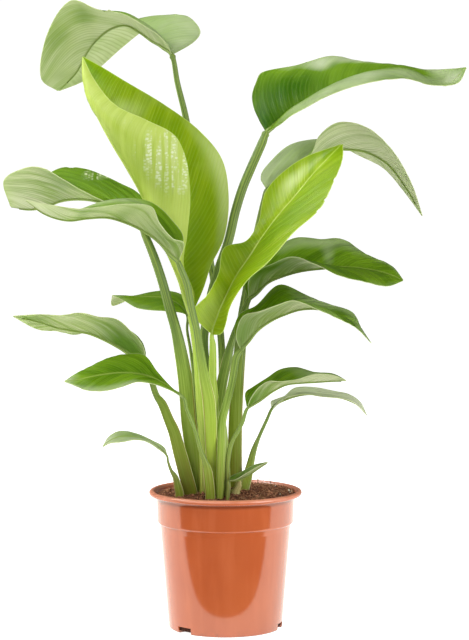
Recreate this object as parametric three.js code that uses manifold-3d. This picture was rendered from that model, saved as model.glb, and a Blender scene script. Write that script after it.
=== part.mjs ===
// Potted bird of paradise: a plastic nursery pot filled with soil, and sixteen leaves that stand in it.
// Millimetres. Z is up, X to the right, Y to the back. The origin is the centre of the pot's foot.
import * as THREE from "three";
import { mergeVertices } from "three/addons/utils/BufferGeometryUtils.js";
import Module from "manifold-3d";

const wasm = await Module();
wasm.setup();

// Pot
const POT_HEIGHT = 172.5;
const LIP_RADIUS = 95.2;
const LIP_FOOT = 166;
const MOUTH_RADIUS = 88.5;
const COLLAR_RADIUS = 86.2;
const COLLAR_FOOT_RADIUS = 85;
const COLLAR_FOOT = 132.5;
const BODY_TOP_RADIUS = 81.4;
const FOOT_RADIUS = 70.8;
const WALL = 2;
const FLOOR = 2.5;
const POT_FACETS = 44;
const DRAIN_ANGLES = [-135.5, -15.5, 104.5];
const DRAIN_WIDTH = 22;
const DRAIN_HEIGHT = 8.5;
const DRAIN_REACH = 19;

// Soil
const GAP = 0.3;
const SOIL_EDGE = 168.5;
const SOIL_MOUND = 5;
const SOIL_BUMP = 1.1;
const SOIL_RINGS = 5;
const SOIL_FACETS = 36;
const HOLE_GAP = 0.35;

// Leaves
const BLADE_THICKNESS = 1.1;
const LARGE = { rows: 12, stops: [0.07, 0.36, 0.7, 1], sides: 7, steps: 11, rib: 3.2 };
const SMALL = { rows: 8, stops: [0.1, 0.5, 1], sides: 6, steps: 8, rib: 1.4 };
const SMALL_LEAF_LENGTH = 150;
const JOIN_LENGTH = 12;

// Leaf points are drawn on a flat picture held square to the line of sight: [across, up, back].
// The eye stands in front of the pot and looks down a little. Each point is moved along its line of
// sight from the eye, until it is as far behind the pot's axis as its third number says. So the depth
// of a point can change while the drawn outline stays the same.
const EYE = { x: 11.25, z: 590, distance: 2800, tilt: 4.2 };
const PICTURE = { distance: 2829, up: 384 };

// Every leaf has three curves with the same number of stations: midrib, left margin, right margin.
// Left and right are seen from the base to the tip with the upper face up.
// arch: how far the left and right half bulge upwards, as a share of their width.
// stalk: stations from the blade down to the foot in the soil: [across, up, back, width, thickness].
const LEAVES = {
  leaf_top_back: {
    young: false,
    tip: [-209, 669.5, 204],
    arch: [0.1, 0.08],
    midrib: [
      [-78, 726, 84], [-92, 734, 98], [-106, 744, 114], [-124, 753, 132], [-144, 748, 152],
      [-161, 734, 168], [-173, 718, 182], [-186, 694, 196],
    ],
    left: [
      [-74, 729, 46], [-84, 740, 38], [-99, 750, 42], [-127, 766, 60], [-159, 772, 90],
      [-194, 783, 120], [-222, 744, 146], [-230.5, 686, 176],
    ],
    right: [
      [-40, 731, 92], [-31.5, 745, 118], [-49, 764, 148], [-82, 762, 170], [-108, 742, 188],
      [-131, 723, 200], [-152, 704, 206], [-175, 684, 210],
    ],
    stalk: [
      [-67, 715, 72, 6, 5.5], [-60, 680, 74, 7, 6.5], [-50, 639, 75, 8, 7], [-33, 546, 72, 8, 7.5],
      [-18, 453, 62, 8.5, 8], [-6, 365, 46, 9, 8], [-4, 309, 34, 9.5, 8], [-6, 246, 22, 10, 8],
      [-8, 184, 14, 10, 8], [-8, 122, 10, 10, 8],
    ],
  },
  leaf_tall_young: {
    young: true,
    tip: [-179, 714, 5],
    arch: [-0.28, -0.16],
    midrib: [
      [-53, 425, -12], [-68, 462, -9], [-86, 499, -4], [-103, 540, 0], [-122, 574, 2], [-141, 605, 4],
      [-158, 636, 5], [-172, 666, 5], [-178, 694, 5],
    ],
    left: [
      [-39, 416, -20], [-52, 452, -30], [-48, 489, -46], [-44, 536, -58], [-49, 584, -62],
      [-63, 614, -60], [-99, 634, -50], [-138, 653, -34], [-163, 683, -14],
    ],
    right: [
      [-28, 422, 0], [-18, 452, 10], [-2, 486, 22], [4, 534, 34], [-4, 584, 42], [-32, 620, 44],
      [-76, 653, 40], [-126, 683, 30], [-159, 703, 16],
    ],
    stalk: [
      [-43, 389, -14, 9, 8], [-38, 365, -15, 11, 9], [-34, 334, -17, 12.5, 9], [-32, 309, -18, 13, 9],
      [-30, 272, -20, 13, 9], [-27, 234, -22, 12.5, 9], [-26, 203, -23, 12.5, 9],
      [-26, 122, -23, 12.5, 9],
    ],
  },
  leaf_left_front: {
    young: false,
    tip: [-251, 534, -116],
    arch: [0.06, 0.08],
    midrib: [
      [-69, 468, -84], [-84, 484, -88], [-101, 496, -92], [-122, 506, -96], [-147, 513, -100],
      [-172, 512, -104], [-197, 509, -108], [-224, 516, -112],
    ],
    left: [
      [-52, 480, -96], [-66, 486, -112], [-83, 506, -126], [-92, 525, -136], [-122, 529, -144],
      [-152, 526, -148], [-182, 523, -148], [-219, 528, -136],
    ],
    right: [
      [-53, 488, -76], [-68, 510, -70], [-83, 525, -64], [-98, 533, -60], [-127, 536, -58],
      [-154, 532, -60], [-179, 523, -66], [-222, 518, -86],
    ],
    stalk: [
      [-59, 456, -80, 6.5, 6], [-56, 449, -79, 7.5, 7], [-48, 429, -76, 8.5, 7.5],
      [-43, 403, -71, 8.5, 8], [-36, 372, -64, 8.5, 8], [-32, 346, -59, 10, 8],
      [-27, 315, -53, 12.5, 8.5], [-21, 284, -46, 16, 9], [-19, 259, -42, 15.5, 9],
      [-18.5, 234, -37, 14.4, 9], [-16, 196, -31, 14, 9], [-13, 159, -28, 14, 9],
      [-13, 122, -28, 14, 9],
    ],
  },
  leaf_left_back: {
    young: false,
    tip: [-269, 525, 116],
    arch: [0.08, 0.08],
    midrib: [
      [-117, 510, -4], [-132, 522, 8], [-148, 530, 22], [-167, 535, 38], [-188, 536, 56],
      [-207, 533, 74], [-224, 526, 90], [-244, 522, 104],
    ],
    left: [
      [-114, 513, -36], [-133, 524, -40], [-153, 533, -36], [-176, 544, -22], [-202, 559, -2],
      [-226, 573, 22], [-247, 575, 46], [-277, 559, 76],
    ],
    right: [
      [-102, 532, 12], [-112, 545, 38], [-130, 554, 62], [-151, 564, 86], [-176, 573, 104],
      [-206, 574, 118], [-236, 556, 124], [-260, 532, 122],
    ],
    stalk: [
      [-104, 498, -14, 8, 7.5], [-100, 489, -14, 9.5, 9], [-89, 462, -14, 11, 9],
      [-79, 432, -13, 11.5, 9.5], [-71, 403, -13, 12, 9.5], [-62, 372, -12, 13, 10],
      [-56, 344, -11, 16, 10], [-51, 315, -11, 18, 10], [-48, 284, -10, 18.5, 10],
      [-46, 259, -9, 19, 10], [-41.5, 228, -8, 20, 9.5], [-37, 190, -8, 19, 9], [-34, 159, -8, 17, 9],
      [-34, 122, -8, 15, 9],
    ],
  },
  leaf_top_right: {
    young: false,
    tip: [302, 700, 36],
    arch: [0.06, 0.1],
    midrib: [
      [61, 629, 46], [78, 643, 44], [99, 656, 42], [121, 668, 40], [149, 682, 38], [183, 693, 36],
      [221, 698, 36], [249, 688, 36], [277, 678, 36],
    ],
    left: [
      [37, 644, 66], [34, 669, 88], [48, 692, 104], [91, 703, 110], [133, 714, 108], [166, 708, 104],
      [218, 700, 94], [253, 697, 78], [283, 698, 58],
    ],
    right: [
      [68, 628, 24], [82, 639, 2], [102, 650, -14], [126, 663, -26], [158, 675, -32], [193, 683, -32],
      [228, 685, -24], [254, 678, -8], [290, 680, 14],
    ],
    stalk: [
      [51, 618, 46, 8, 7], [46, 606, 46, 11, 8.5], [31, 572, 45, 11.5, 9], [21.5, 549, 43, 11.5, 9],
      [12.5, 520, 40, 11.5, 9], [4, 484, 37, 11.5, 9], [-8, 449, 33, 11.5, 9], [-17, 419, 29, 11.5, 9],
      [-24, 384, 24, 11, 9], [-27, 359, 21, 11, 9], [-24, 315, 14, 11, 9], [-19, 259, 7, 11.5, 9],
      [-17, 196, 0, 12, 9], [-16, 122, -2, 12, 9],
    ],
  },
  leaf_small_back: {
    young: false,
    tip: [-142, 415, 80],
    arch: [0.08, 0.08],
    midrib: [
      [-61, 405, 40], [-78, 412, 48], [-96, 413, 58], [-112, 414, 66], [-127, 415, 74],
    ],
    left: [
      [-56, 393, 24], [-76, 395, 26], [-93, 396, 36], [-111, 399, 48], [-127, 408, 62],
    ],
    right: [
      [-52, 413, 56], [-69, 420, 72], [-92, 419, 82], [-117, 411, 88], [-142, 402, 88],
    ],
    stalk: [
      [-48, 390, 34, 3.5, 3.5], [-48, 372, 34, 3.5, 3.5], [-44, 348, 33, 4, 4], [-39, 309, 28, 5, 4.5],
      [-36, 246, 18, 5.5, 5], [-33, 163, 8, 6, 5], [-33, 122, 8, 6, 5],
    ],
  },
  leaf_young_right: {
    young: true,
    tip: [147, 605, 4],
    arch: [-0.08, 0.04],
    midrib: [
      [-9, 392, -26], [1, 415, -26], [14, 440, -24], [31, 465, -22], [47, 490, -18], [64, 513, -14],
      [87, 539, -8], [111, 568, -2],
    ],
    left: [
      [-41, 394, -40], [-23, 415, -46], [-9, 442, -34], [-2, 474, -20], [26, 483, -4], [41, 506, 4],
      [51, 546, 16], [91, 583, 20],
    ],
    right: [
      [-4, 368, -40], [7, 403, -52], [27, 433, -60], [53, 456, -64], [86, 494, -66], [118, 523, -62],
      [134, 554, -48], [146, 584, -24],
    ],
    stalk: [
      [-17, 365, -24, 5, 5], [-16, 353, -24, 8, 6.5], [-16, 334, -24, 9.5, 7.5],
      [-16, 309, -22, 10, 8], [-14, 284, -21, 11, 8], [-14, 246, -20, 12, 8], [-13, 209, -18, 12, 8],
      [-13, 163, -18, 12, 8], [-13, 122, -18, 12, 8],
    ],
  },
  leaf_drooping_right: {
    young: false,
    tip: [247, 512, 62],
    arch: [0.08, 0.1],
    midrib: [
      [64, 558, 48], [84, 574, 50], [108, 589, 52], [131, 597, 54], [152, 598, 56], [177, 594, 58],
      [203, 579, 60], [226, 549, 62],
    ],
    left: [
      [44, 563, 68], [58, 584, 92], [81, 603, 108], [108, 609, 116], [136, 605, 118], [166, 590, 114],
      [197, 574, 104], [222, 546, 86],
    ],
    right: [
      [72, 552, 38], [93, 572, 32], [109, 594, 24], [117, 614, 18], [141, 631, 16], [176, 625, 18],
      [207, 598, 26], [232, 556, 42],
    ],
    stalk: [
      [52, 546, 46, 7, 6], [49, 534, 46, 8.5, 7], [42, 503, 47, 9.5, 8], [34, 465, 47, 10.5, 8.5],
      [27, 422, 42, 11.5, 9], [21, 384, 34, 13, 9.5], [18, 346, 26, 15, 10], [15, 309, 18, 16.5, 10],
      [13, 272, 11, 17, 10], [12, 234, 5, 17.5, 10], [12, 190, -1, 17.5, 10], [12, 122, -4, 16, 10],
    ],
  },
  leaf_right_upper: {
    young: false,
    tip: [223, 433, -6],
    arch: [0.1, 0.06],
    midrib: [
      [38, 419, 6], [52, 432, 6], [71, 440, 6], [93, 446, 4], [118, 449, 2], [146, 450, 0],
      [173, 448, -2], [201, 442, -4],
    ],
    left: [
      [24, 434, 18], [41, 456, 32], [62, 474, 46], [89, 487, 56], [118, 485, 60], [146, 485, 58],
      [176, 466, 50], [207, 452, 30],
    ],
    right: [
      [29, 433, -10], [38, 446, -26], [56, 453, -40], [83, 463, -52], [111, 454, -58], [143, 439, -60],
      [172, 432, -54], [201, 426, -36],
    ],
    stalk: [
      [29, 409, 6, 6.5, 6], [25, 400, 6, 8, 6.5], [18, 384, 7, 8, 7], [8, 358, 4, 8.5, 7.5],
      [1, 330, 0, 13, 8], [-5, 302, -5, 13.5, 8], [-8, 274, -10, 12.5, 8], [-4, 246, -11, 12, 8],
      [-1, 209, -13, 12, 8], [1, 163, -15, 12, 8], [1, 122, -15, 12, 8],
    ],
  },
  leaf_right_middle: {
    young: false,
    tip: [183, 354, -40],
    arch: [0.08, 0.06],
    midrib: [
      [27, 358, -24], [39, 372, -26], [56, 384, -28], [74, 392, -30], [94, 398, -32], [118, 398, -34],
      [143, 389, -36], [166, 374, -38],
    ],
    left: [
      [11, 372, -16], [18, 391, -8], [38, 402, 8], [68, 428, 22], [101, 415, 24], [132, 401, 18],
      [159, 393, 6], [171, 370, -16],
    ],
    right: [
      [13, 365, -36], [22, 389, -50], [41, 394, -64], [63, 402, -74], [86, 408, -80], [113, 398, -82],
      [142, 385, -78], [163, 374, -62],
    ],
    stalk: [
      [19, 346, -22, 6.5, 5.5], [14, 339, -23, 9, 6.5], [11, 324, -24, 9, 6.5], [7, 302, -26, 9, 6.5],
      [1, 279, -29, 9.5, 6.5], [-4, 259, -33, 10.5, 6.5], [-5, 234, -39, 10.5, 6.5],
      [-6, 196, -42, 10.5, 7], [-7, 163, -42, 10, 7], [-7, 122, -42, 10, 7],
    ],
  },
  leaf_right_lower: {
    young: false,
    tip: [152, 308, -50],
    arch: [0.06, 0.06],
    midrib: [
      [34, 279, -36], [46, 287, -38], [59, 296, -40], [76, 304, -42], [94, 306, -44], [114, 307, -46],
      [134, 308, -48],
    ],
    left: [
      [25, 293, -26], [34, 300, -18], [51, 311, -10], [68, 322, -6], [88, 325, -6], [111, 319, -12],
      [134, 317, -28],
    ],
    right: [
      [31, 285, -46], [41, 299, -56], [53, 307, -64], [72, 307, -70], [91, 310, -74], [111, 316, -76],
      [133, 315, -68],
    ],
    stalk: [
      [27, 273, -34, 4, 4], [21, 256, -35, 5, 4.5], [14, 243, -36, 5, 4.5], [8, 232, -37, 5.5, 4.5],
      [4, 216, -38, 6, 4.5], [2, 190, -38, 6, 4.5], [2, 122, -38, 6, 4.5],
    ],
  },
  leaf_right_lowest: {
    young: false,
    tip: [177, 264, -15],
    arch: [0.08, 0.06],
    midrib: [
      [67, 282, 4], [81, 288, 2], [101, 292, 0], [121, 291, -3], [141, 288, -6], [157, 283, -9],
      [168, 276, -12],
    ],
    left: [
      [57, 282, 14], [71, 287, 22], [86, 299, 30], [108, 300, 32], [134, 295, 28], [152, 292, 20],
      [168, 282, 4],
    ],
    right: [
      [66, 279, -6], [79, 288, -18], [99, 291, -28], [121, 288, -36], [142, 286, -38], [156, 283, -36],
      [167, 275, -28],
    ],
    stalk: [
      [58, 273, 6, 3.5, 3.5], [52, 260, 5, 4, 4], [42, 238, 2, 4.5, 4.5], [36, 223, -1, 7, 5.5],
      [31, 204, -4, 9.5, 6], [27.5, 188, -8, 12, 6], [24, 168, -14, 10, 6], [24, 122, -16, 9, 6],
    ],
  },
  leaf_left_lowest: {
    young: false,
    tip: [-154, 225, -54],
    arch: [0.06, 0.06],
    midrib: [
      [-84, 225, -34], [-97, 233, -38], [-113, 237, -42], [-131, 238, -46], [-144, 233, -50],
    ],
    left: [
      [-84, 222.5, -40], [-97, 231, -50], [-112, 234, -58], [-131, 231, -62], [-143, 230, -60],
    ],
    right: [
      [-76, 224, -27], [-93, 234, -25], [-114, 243, -26], [-133, 245, -32], [-146, 238, -42],
    ],
    stalk: [
      [-73, 214, -30, 2.5, 2.5], [-72, 208, -30, 2.8, 2.8], [-68, 196, -30, 4, 3.5],
      [-63, 188, -30, 7, 4.5], [-59.5, 176, -30, 9.5, 5], [-57, 163, -30, 10.5, 5],
      [-56, 122, -30, 9, 5],
    ],
  },
  leaf_left_middle: {
    young: false,
    tip: [-267, 389, -36],
    arch: [0.08, 0.06],
    midrib: [
      [-114, 339, -22], [-132, 350, -24], [-151, 360, -26], [-171, 368, -28], [-191, 371, -30],
      [-212, 375, -32], [-234, 382, -34],
    ],
    left: [
      [-104, 353, -34], [-118, 370, -48], [-136, 385, -58], [-158, 388, -64], [-182, 393, -66],
      [-204, 390, -64], [-232, 391, -54],
    ],
    right: [
      [-101, 349, -8], [-109, 363, 4], [-127, 375, 10], [-151, 382, 12], [-184, 366, 8],
      [-211, 370, 0], [-234, 372, -12],
    ],
    stalk: [
      [-99, 334, -20, 5.5, 5], [-91, 303, -21, 7.5, 6], [-86, 289, -21, 8, 6.5],
      [-79, 279, -22, 11, 7], [-71, 260, -22, 12.5, 7.5], [-64.5, 245, -22, 14.5, 8],
      [-57, 218, -21, 16.5, 8], [-49.5, 190, -20, 17.5, 8], [-42.5, 163, -20, 16.5, 8],
      [-41, 122, -20, 14, 8],
    ],
  },
  leaf_left_lower: {
    young: false,
    tip: [-202, 307, -104],
    arch: [0.06, 0.06],
    midrib: [
      [-68, 299, -66], [-87, 310, -72], [-106, 316, -78], [-128, 318, -84], [-151, 316, -90],
      [-173, 312, -96], [-189, 308, -100],
    ],
    left: [
      [-69, 296, -74], [-92, 304, -90], [-112, 306, -104], [-133, 299, -112], [-153, 295, -116],
      [-174, 296, -116], [-189, 302, -112],
    ],
    right: [
      [-71, 303, -60], [-86, 320, -56], [-102, 340, -52], [-127, 341, -54], [-148, 336, -60],
      [-171, 325, -72], [-187, 317, -86],
    ],
    stalk: [
      [-52, 286, -62, 4.5, 4], [-49, 274, -60, 4, 4], [-43, 259, -57, 4.5, 4.5],
      [-38, 246, -54, 4.5, 4.5], [-34, 232, -51, 4.8, 4.8], [-30, 218, -49, 5.5, 5],
      [-25.5, 207, -48, 7, 6], [-22.5, 196, -48, 11, 6], [-20.5, 181, -47, 12, 6],
      [-19, 163, -46, 12, 6], [-19, 122, -46, 10, 6],
    ],
  },
  leaf_smallest: {
    young: false,
    tip: [54, 207, -44],
    arch: [0, 0],
    midrib: [
      [14, 184, -44], [27, 190, -44], [41, 199, -44],
    ],
    left: [
      [6, 188, -38], [19, 194, -36], [36, 203, -37],
    ],
    right: [
      [11, 184, -52], [27, 193, -55], [41, 201, -53],
    ],
    stalk: [
      [4, 183, -44, 3.5, 3.5], [4, 174, -45, 5, 4], [3, 163, -46, 5, 4], [3, 122, -46, 5, 4],
    ],
  },
};

// The dry old sheath: stations down into the soil, as for a stalk.
const OLD_SHEATH = [
  [18, 185, -30, 3, 1.5], [16, 179, -30, 7, 1.6], [13, 172, -30, 11, 1.8], [10, 163, -30, 13, 2],
  [9, 140, -30, 13, 2],
];

const FINISH = {
  pot: { color: "#c8714f", roughness: 0.32, metalness: 0 },
  soil: { color: "#4a2f22", roughness: 0.96, metalness: 0 },
  grown: { color: "#6f9436", roughness: 0.42, metalness: 0 },
  young: { color: "#a2c040", roughness: 0.45, metalness: 0 },
  dry: { color: "#b3b06a", roughness: 0.7, metalness: 0 },
};

// Solids are joined and cut here. Corners at the same place are made one corner first.
function solidOf(geometry) {
  const bare = geometry.clone();
  bare.deleteAttribute("normal");
  bare.deleteAttribute("uv");
  const merged = mergeVertices(bare, 1e-4);
  const mesh = new wasm.Mesh({
    numProp: 3,
    vertProperties: new Float32Array(merged.attributes.position.array),
    triVerts: new Uint32Array(merged.index.array),
  });
  return new wasm.Manifold(mesh);
}

// A named mesh whose own origin is moved to the given place.
function piece(name, solid, finish, place = new THREE.Vector3()) {
  const { vertProperties, triVerts } = solid.getMesh();
  const geometry = new THREE.BufferGeometry();
  geometry.setAttribute("position", new THREE.BufferAttribute(vertProperties, 3));
  geometry.setIndex(new THREE.BufferAttribute(triVerts, 1));
  geometry.translate(-place.x, -place.y, -place.z);
  geometry.computeVertexNormals();
  const mesh = new THREE.Mesh(geometry, new THREE.MeshStandardMaterial(finish));
  mesh.name = name;
  mesh.position.copy(place);
  return mesh;
}

// A closed profile of [radius, height] pairs, turned about Z.
function turned(profile, facets) {
  const points = profile.map(([radius, height]) => new THREE.Vector2(radius, height));
  const geometry = new THREE.LatheGeometry(points, facets);
  geometry.rotateX(Math.PI / 2);
  return geometry;
}

function potSolid() {
  const outside = [
    [0, 0], [FOOT_RADIUS - 1.5, 0], [FOOT_RADIUS, 1.5],
    [BODY_TOP_RADIUS, COLLAR_FOOT - 1.5], [COLLAR_FOOT_RADIUS, COLLAR_FOOT], [COLLAR_RADIUS, LIP_FOOT - 1],
    [LIP_RADIUS - 1, LIP_FOOT + 0.4], [LIP_RADIUS, LIP_FOOT + 2.2], [LIP_RADIUS - 0.5, POT_HEIGHT - 2],
    [LIP_RADIUS - 2.2, POT_HEIGHT - 0.3], [LIP_RADIUS - 3.6, POT_HEIGHT],
  ];
  const inside = [
    [MOUTH_RADIUS, POT_HEIGHT - 1.8], [COLLAR_RADIUS - WALL, LIP_FOOT - 3],
    [COLLAR_FOOT_RADIUS - WALL, COLLAR_FOOT + 1], [BODY_TOP_RADIUS - WALL, COLLAR_FOOT - 1],
    [FOOT_RADIUS - WALL, FLOOR], [0, FLOOR],
  ];
  const shell = solidOf(turned([...outside, ...inside], POT_FACETS));
  return DRAIN_ANGLES.reduce((solid, angle) => {
    const notch = new THREE.BoxGeometry(DRAIN_REACH + 10, DRAIN_WIDTH, DRAIN_HEIGHT * 2);
    notch.translate(FOOT_RADIUS - DRAIN_REACH + (DRAIN_REACH + 10) / 2, 0, 0);
    notch.rotateZ(THREE.MathUtils.degToRad(angle));
    return solid.subtract(solidOf(notch));
  }, shell);
}

// The soil fills the pot. Its top is mounded in the middle and a little uneven.
function soilSolid() {
  const edge = COLLAR_RADIUS - WALL - GAP;
  const profile = [
    [0, FLOOR + GAP], [FOOT_RADIUS - WALL - GAP, FLOOR + GAP],
    [BODY_TOP_RADIUS - WALL - GAP, COLLAR_FOOT - 1 + GAP],
    [COLLAR_FOOT_RADIUS - WALL - GAP, COLLAR_FOOT + 1 + GAP], [edge, LIP_FOOT - 3],
  ];
  for (let ring = 0; ring <= SOIL_RINGS; ring += 1) {
    const share = 1 - ring / SOIL_RINGS;
    profile.push([(edge + 1.5) * share, SOIL_EDGE + SOIL_MOUND * (1 - share ** 2)]);
  }
  const geometry = turned(profile, SOIL_FACETS);
  const corners = geometry.attributes.position;
  for (let n = 0; n < corners.count; n += 1) {
    const x = corners.getX(n);
    const y = corners.getY(n);
    const z = corners.getZ(n);
    const inward = Math.max(0, 1 - Math.hypot(x, y) / edge);
    if (z > SOIL_EDGE) {
      const bump = Math.sin(x / 7 + 1) * Math.cos(y / 6) + Math.sin(x / 15 - y / 11);
      corners.setZ(n, z + SOIL_BUMP * bump * Math.min(1, inward * 4));
    }
  }
  return solidOf(geometry);
}

function onSight([across, up, back]) {
  const tilt = THREE.MathUtils.degToRad(EYE.tilt);
  const height = up - PICTURE.up;
  const forward = PICTURE.distance * Math.cos(tilt) + height * Math.sin(tilt);
  const upward = height * Math.cos(tilt) - PICTURE.distance * Math.sin(tilt);
  const reach = (EYE.distance + back) / forward;
  return new THREE.Vector3(EYE.x + (across - EYE.x) * reach, back, EYE.z + upward * reach);
}

function curveThrough(stations) {
  return new THREE.CatmullRomCurve3(stations.map(onSight), false, "centripetal");
}

// The middle surface of a blade: rows from base to tip, columns from the left to the right margin.
function bladeRows(leaf, size) {
  const base = leaf.stalk[0];
  const midrib = curveThrough([base, ...leaf.midrib, leaf.tip]);
  const margins = [leaf.left, leaf.right].map((margin) => curveThrough([base, ...margin, leaf.tip]));
  const rows = [];
  for (let i = 0; i <= size.rows; i += 1) {
    const u = i / size.rows;
    const middle = midrib.getPoint(u);
    const forward = midrib.getTangent(u);
    const [left, right] = margins.map((margin, side) => {
      const across = margin.getPoint(u).sub(middle);
      const raised = new THREE.Vector3().crossVectors(forward, across).normalize();
      raised.multiplyScalar(side === 0 ? -1 : 1);
      return size.stops.map((share) => {
        const bulge = leaf.arch[side] * across.length() * 4 * share * (1 - share);
        return middle.clone().addScaledVector(across, share).addScaledVector(raised, -bulge);
      });
    });
    rows.push([...left.reverse(), middle, ...right]);
  }
  return rows;
}

// Unit normal of the upper face at a row and a column.
function upperNormal(rows, i, j) {
  const row = Math.min(Math.max(i, 1), rows.length - 2);
  const last = rows[row].length - 1;
  const along = rows[row + 1][j].clone().sub(rows[row - 1][j]);
  const across = rows[row][Math.min(j + 1, last)].clone().sub(rows[row][Math.max(j - 1, 0)]);
  return across.cross(along).normalize();
}

// A closed blade: the same triangles above and below, and a narrow wall along the margins.
// The lower face stands out along the midrib.
function bladeSolid(leaf, size) {
  const rows = bladeRows(leaf, size);
  const tip = rows.length - 1;
  const end = rows[0].length - 1;
  const middle = end / 2;
  const points = [];
  const above = (i, j) => 2 * (i === 0 || i === tip ? i * (end + 1) : i * (end + 1) + j);
  const below = (i, j) => above(i, j) + 1;
  rows.forEach((row, i) => row.forEach((point, j) => {
    const pointed = i === 0 || i === tip;
    const normal = upperNormal(rows, i, pointed ? middle : j);
    const rib = j === middle && !pointed ? size.rib * (1 - i / tip) ** 1.2 + 0.2 : 0;
    points.push(point.clone().addScaledVector(normal, BLADE_THICKNESS / 2));
    points.push(point.clone().addScaledVector(normal, -BLADE_THICKNESS / 2 - rib));
  }));
  const triangles = [];
  const triangle = (...corners) => {
    if (new Set(corners).size === 3) {
      triangles.push(...corners);
    }
  };
  const quad = (a, b, c, d) => {
    triangle(a, b, c);
    triangle(a, c, d);
  };
  for (let i = 0; i < tip; i += 1) {
    for (let j = 0; j < end; j += 1) {
      quad(above(i, j), above(i, j + 1), above(i + 1, j + 1), above(i + 1, j));
      quad(below(i, j), below(i + 1, j), below(i + 1, j + 1), below(i, j + 1));
    }
    quad(below(i, 0), above(i, 0), above(i + 1, 0), below(i + 1, 0));
    quad(above(i, end), below(i, end), below(i + 1, end), above(i + 1, end));
  }
  const geometry = new THREE.BufferGeometry().setFromPoints(points);
  geometry.setIndex(triangles);
  return solidOf(geometry);
}

// A flattened rod through the stations, bent from a cylinder. grow makes it thicker, for its hole.
function rodSolid(stations, size, start = [], grow = 0) {
  const curve = new THREE.CatmullRomCurve3([...start, ...stations.map(onSight)], false, "centripetal");
  const sections = stations.map(([, , , width, thickness]) => [width + grow, thickness + grow]);
  start.forEach(() => sections.unshift([2, 2]));
  const geometry = new THREE.CylinderGeometry(1, 1, 1, size.sides, size.steps);
  const corners = geometry.attributes.position;
  for (let n = 0; n < corners.count; n += 1) {
    const along = 0.5 - corners.getY(n);
    const place = along * (sections.length - 1);
    const from = Math.min(Math.floor(place), sections.length - 2);
    const [width, thickness] = [0, 1].map((k) => {
      return THREE.MathUtils.lerp(sections[from][k], sections[from + 1][k], place - from);
    });
    const upward = curve.getTangent(along).negate();
    const side = new THREE.Vector3(0, 1, 0).cross(upward).normalize();
    const rear = upward.clone().cross(side);
    const corner = curve.getPoint(along);
    corner.addScaledVector(side, corners.getX(n) * width / 2);
    corner.addScaledVector(rear, -corners.getZ(n) * thickness / 2);
    corners.setXYZ(n, corner.x, corner.y, corner.z);
  }
  return solidOf(geometry);
}

// A leaf and the hole for its foot. The stalk runs on a little way along the midrib, into the blade.
function leafSolids(leaf) {
  const midrib = curveThrough([leaf.stalk[0], ...leaf.midrib, leaf.tip]);
  const length = midrib.getLength();
  const size = length < SMALL_LEAF_LENGTH ? SMALL : LARGE;
  const into = midrib.getPointAt(JOIN_LENGTH / length);
  const stalk = rodSolid(leaf.stalk, size, [into]);
  const hole = rodSolid(leaf.stalk, size, [into], 2 * HOLE_GAP);
  return [bladeSolid(leaf, size).add(stalk), hole];
}

const footOf = (stations) => onSight(stations[stations.length - 1]);

const plant = new THREE.Group();
plant.name = "plant";
let soil = soilSolid();
for (const [name, leaf] of Object.entries(LEAVES)) {
  const [solid, hole] = leafSolids(leaf);
  plant.add(piece(name, solid, leaf.young ? FINISH.young : FINISH.grown, footOf(leaf.stalk)));
  soil = soil.subtract(hole);
}
plant.add(piece("sheath_old", rodSolid(OLD_SHEATH, SMALL), FINISH.dry, footOf(OLD_SHEATH)));
soil = soil.subtract(rodSolid(OLD_SHEATH, SMALL, [], 2 * HOLE_GAP));

const holder = new THREE.Group();
holder.name = "holder";
holder.add(piece("pot", potSolid(), FINISH.pot), piece("soil", soil, FINISH.soil));

const potted = new THREE.Group();
potted.name = "potted_bird_of_paradise";
potted.add(holder, plant);

export default potted;
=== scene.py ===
# %% [markdown]
# # A potted bird of paradise
# The plant stands 0.79 m tall with its pot. Sixteen leaves rise on stalks from one clump, and the
# pot is a plain terracotta coloured nursery pot of moulded plastic, full of brown peat.
# The solids of the part are loaded first. Everything after that is dressed over them, in metres
# and in the same frame, so each piece goes where the solid is.

# %% Load the solids
import math

import bpy
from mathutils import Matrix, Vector
import numpy as np


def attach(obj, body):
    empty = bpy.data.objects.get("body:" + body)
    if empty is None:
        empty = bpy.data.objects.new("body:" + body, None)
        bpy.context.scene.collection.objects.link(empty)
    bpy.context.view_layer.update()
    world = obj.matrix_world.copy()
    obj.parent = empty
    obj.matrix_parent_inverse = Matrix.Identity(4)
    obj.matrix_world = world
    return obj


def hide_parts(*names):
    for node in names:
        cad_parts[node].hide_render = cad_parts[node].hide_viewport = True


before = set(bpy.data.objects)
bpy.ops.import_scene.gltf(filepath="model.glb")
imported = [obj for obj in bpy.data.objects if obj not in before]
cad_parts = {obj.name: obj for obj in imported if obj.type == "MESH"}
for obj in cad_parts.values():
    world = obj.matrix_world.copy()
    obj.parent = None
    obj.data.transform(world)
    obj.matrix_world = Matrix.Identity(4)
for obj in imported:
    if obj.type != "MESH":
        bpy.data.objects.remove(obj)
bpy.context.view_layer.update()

# %% [markdown]
# ## The drawing board
# A leaf in space is hard to describe by eye. Here its curves are drawn on a flat board that faces
# the eye, which stands in front of the plant and looks down a little. Each point also says how far
# behind the pot's axis it is, and moves there along its own line of sight. So the drawing still
# fits from the front, whatever the depth.

# %% Board and curves
EYE_ACROSS, EYE_UP, EYE_DISTANCE = 11.25, 590.0, 2800.0   # millimetres, in front of the pot's axis
EYE_TILT = math.radians(4.2)
BOARD_DISTANCE, BOARD_UP = 2829.0, 384.0                  # the board, and its centre's height
MM = 0.001


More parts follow.
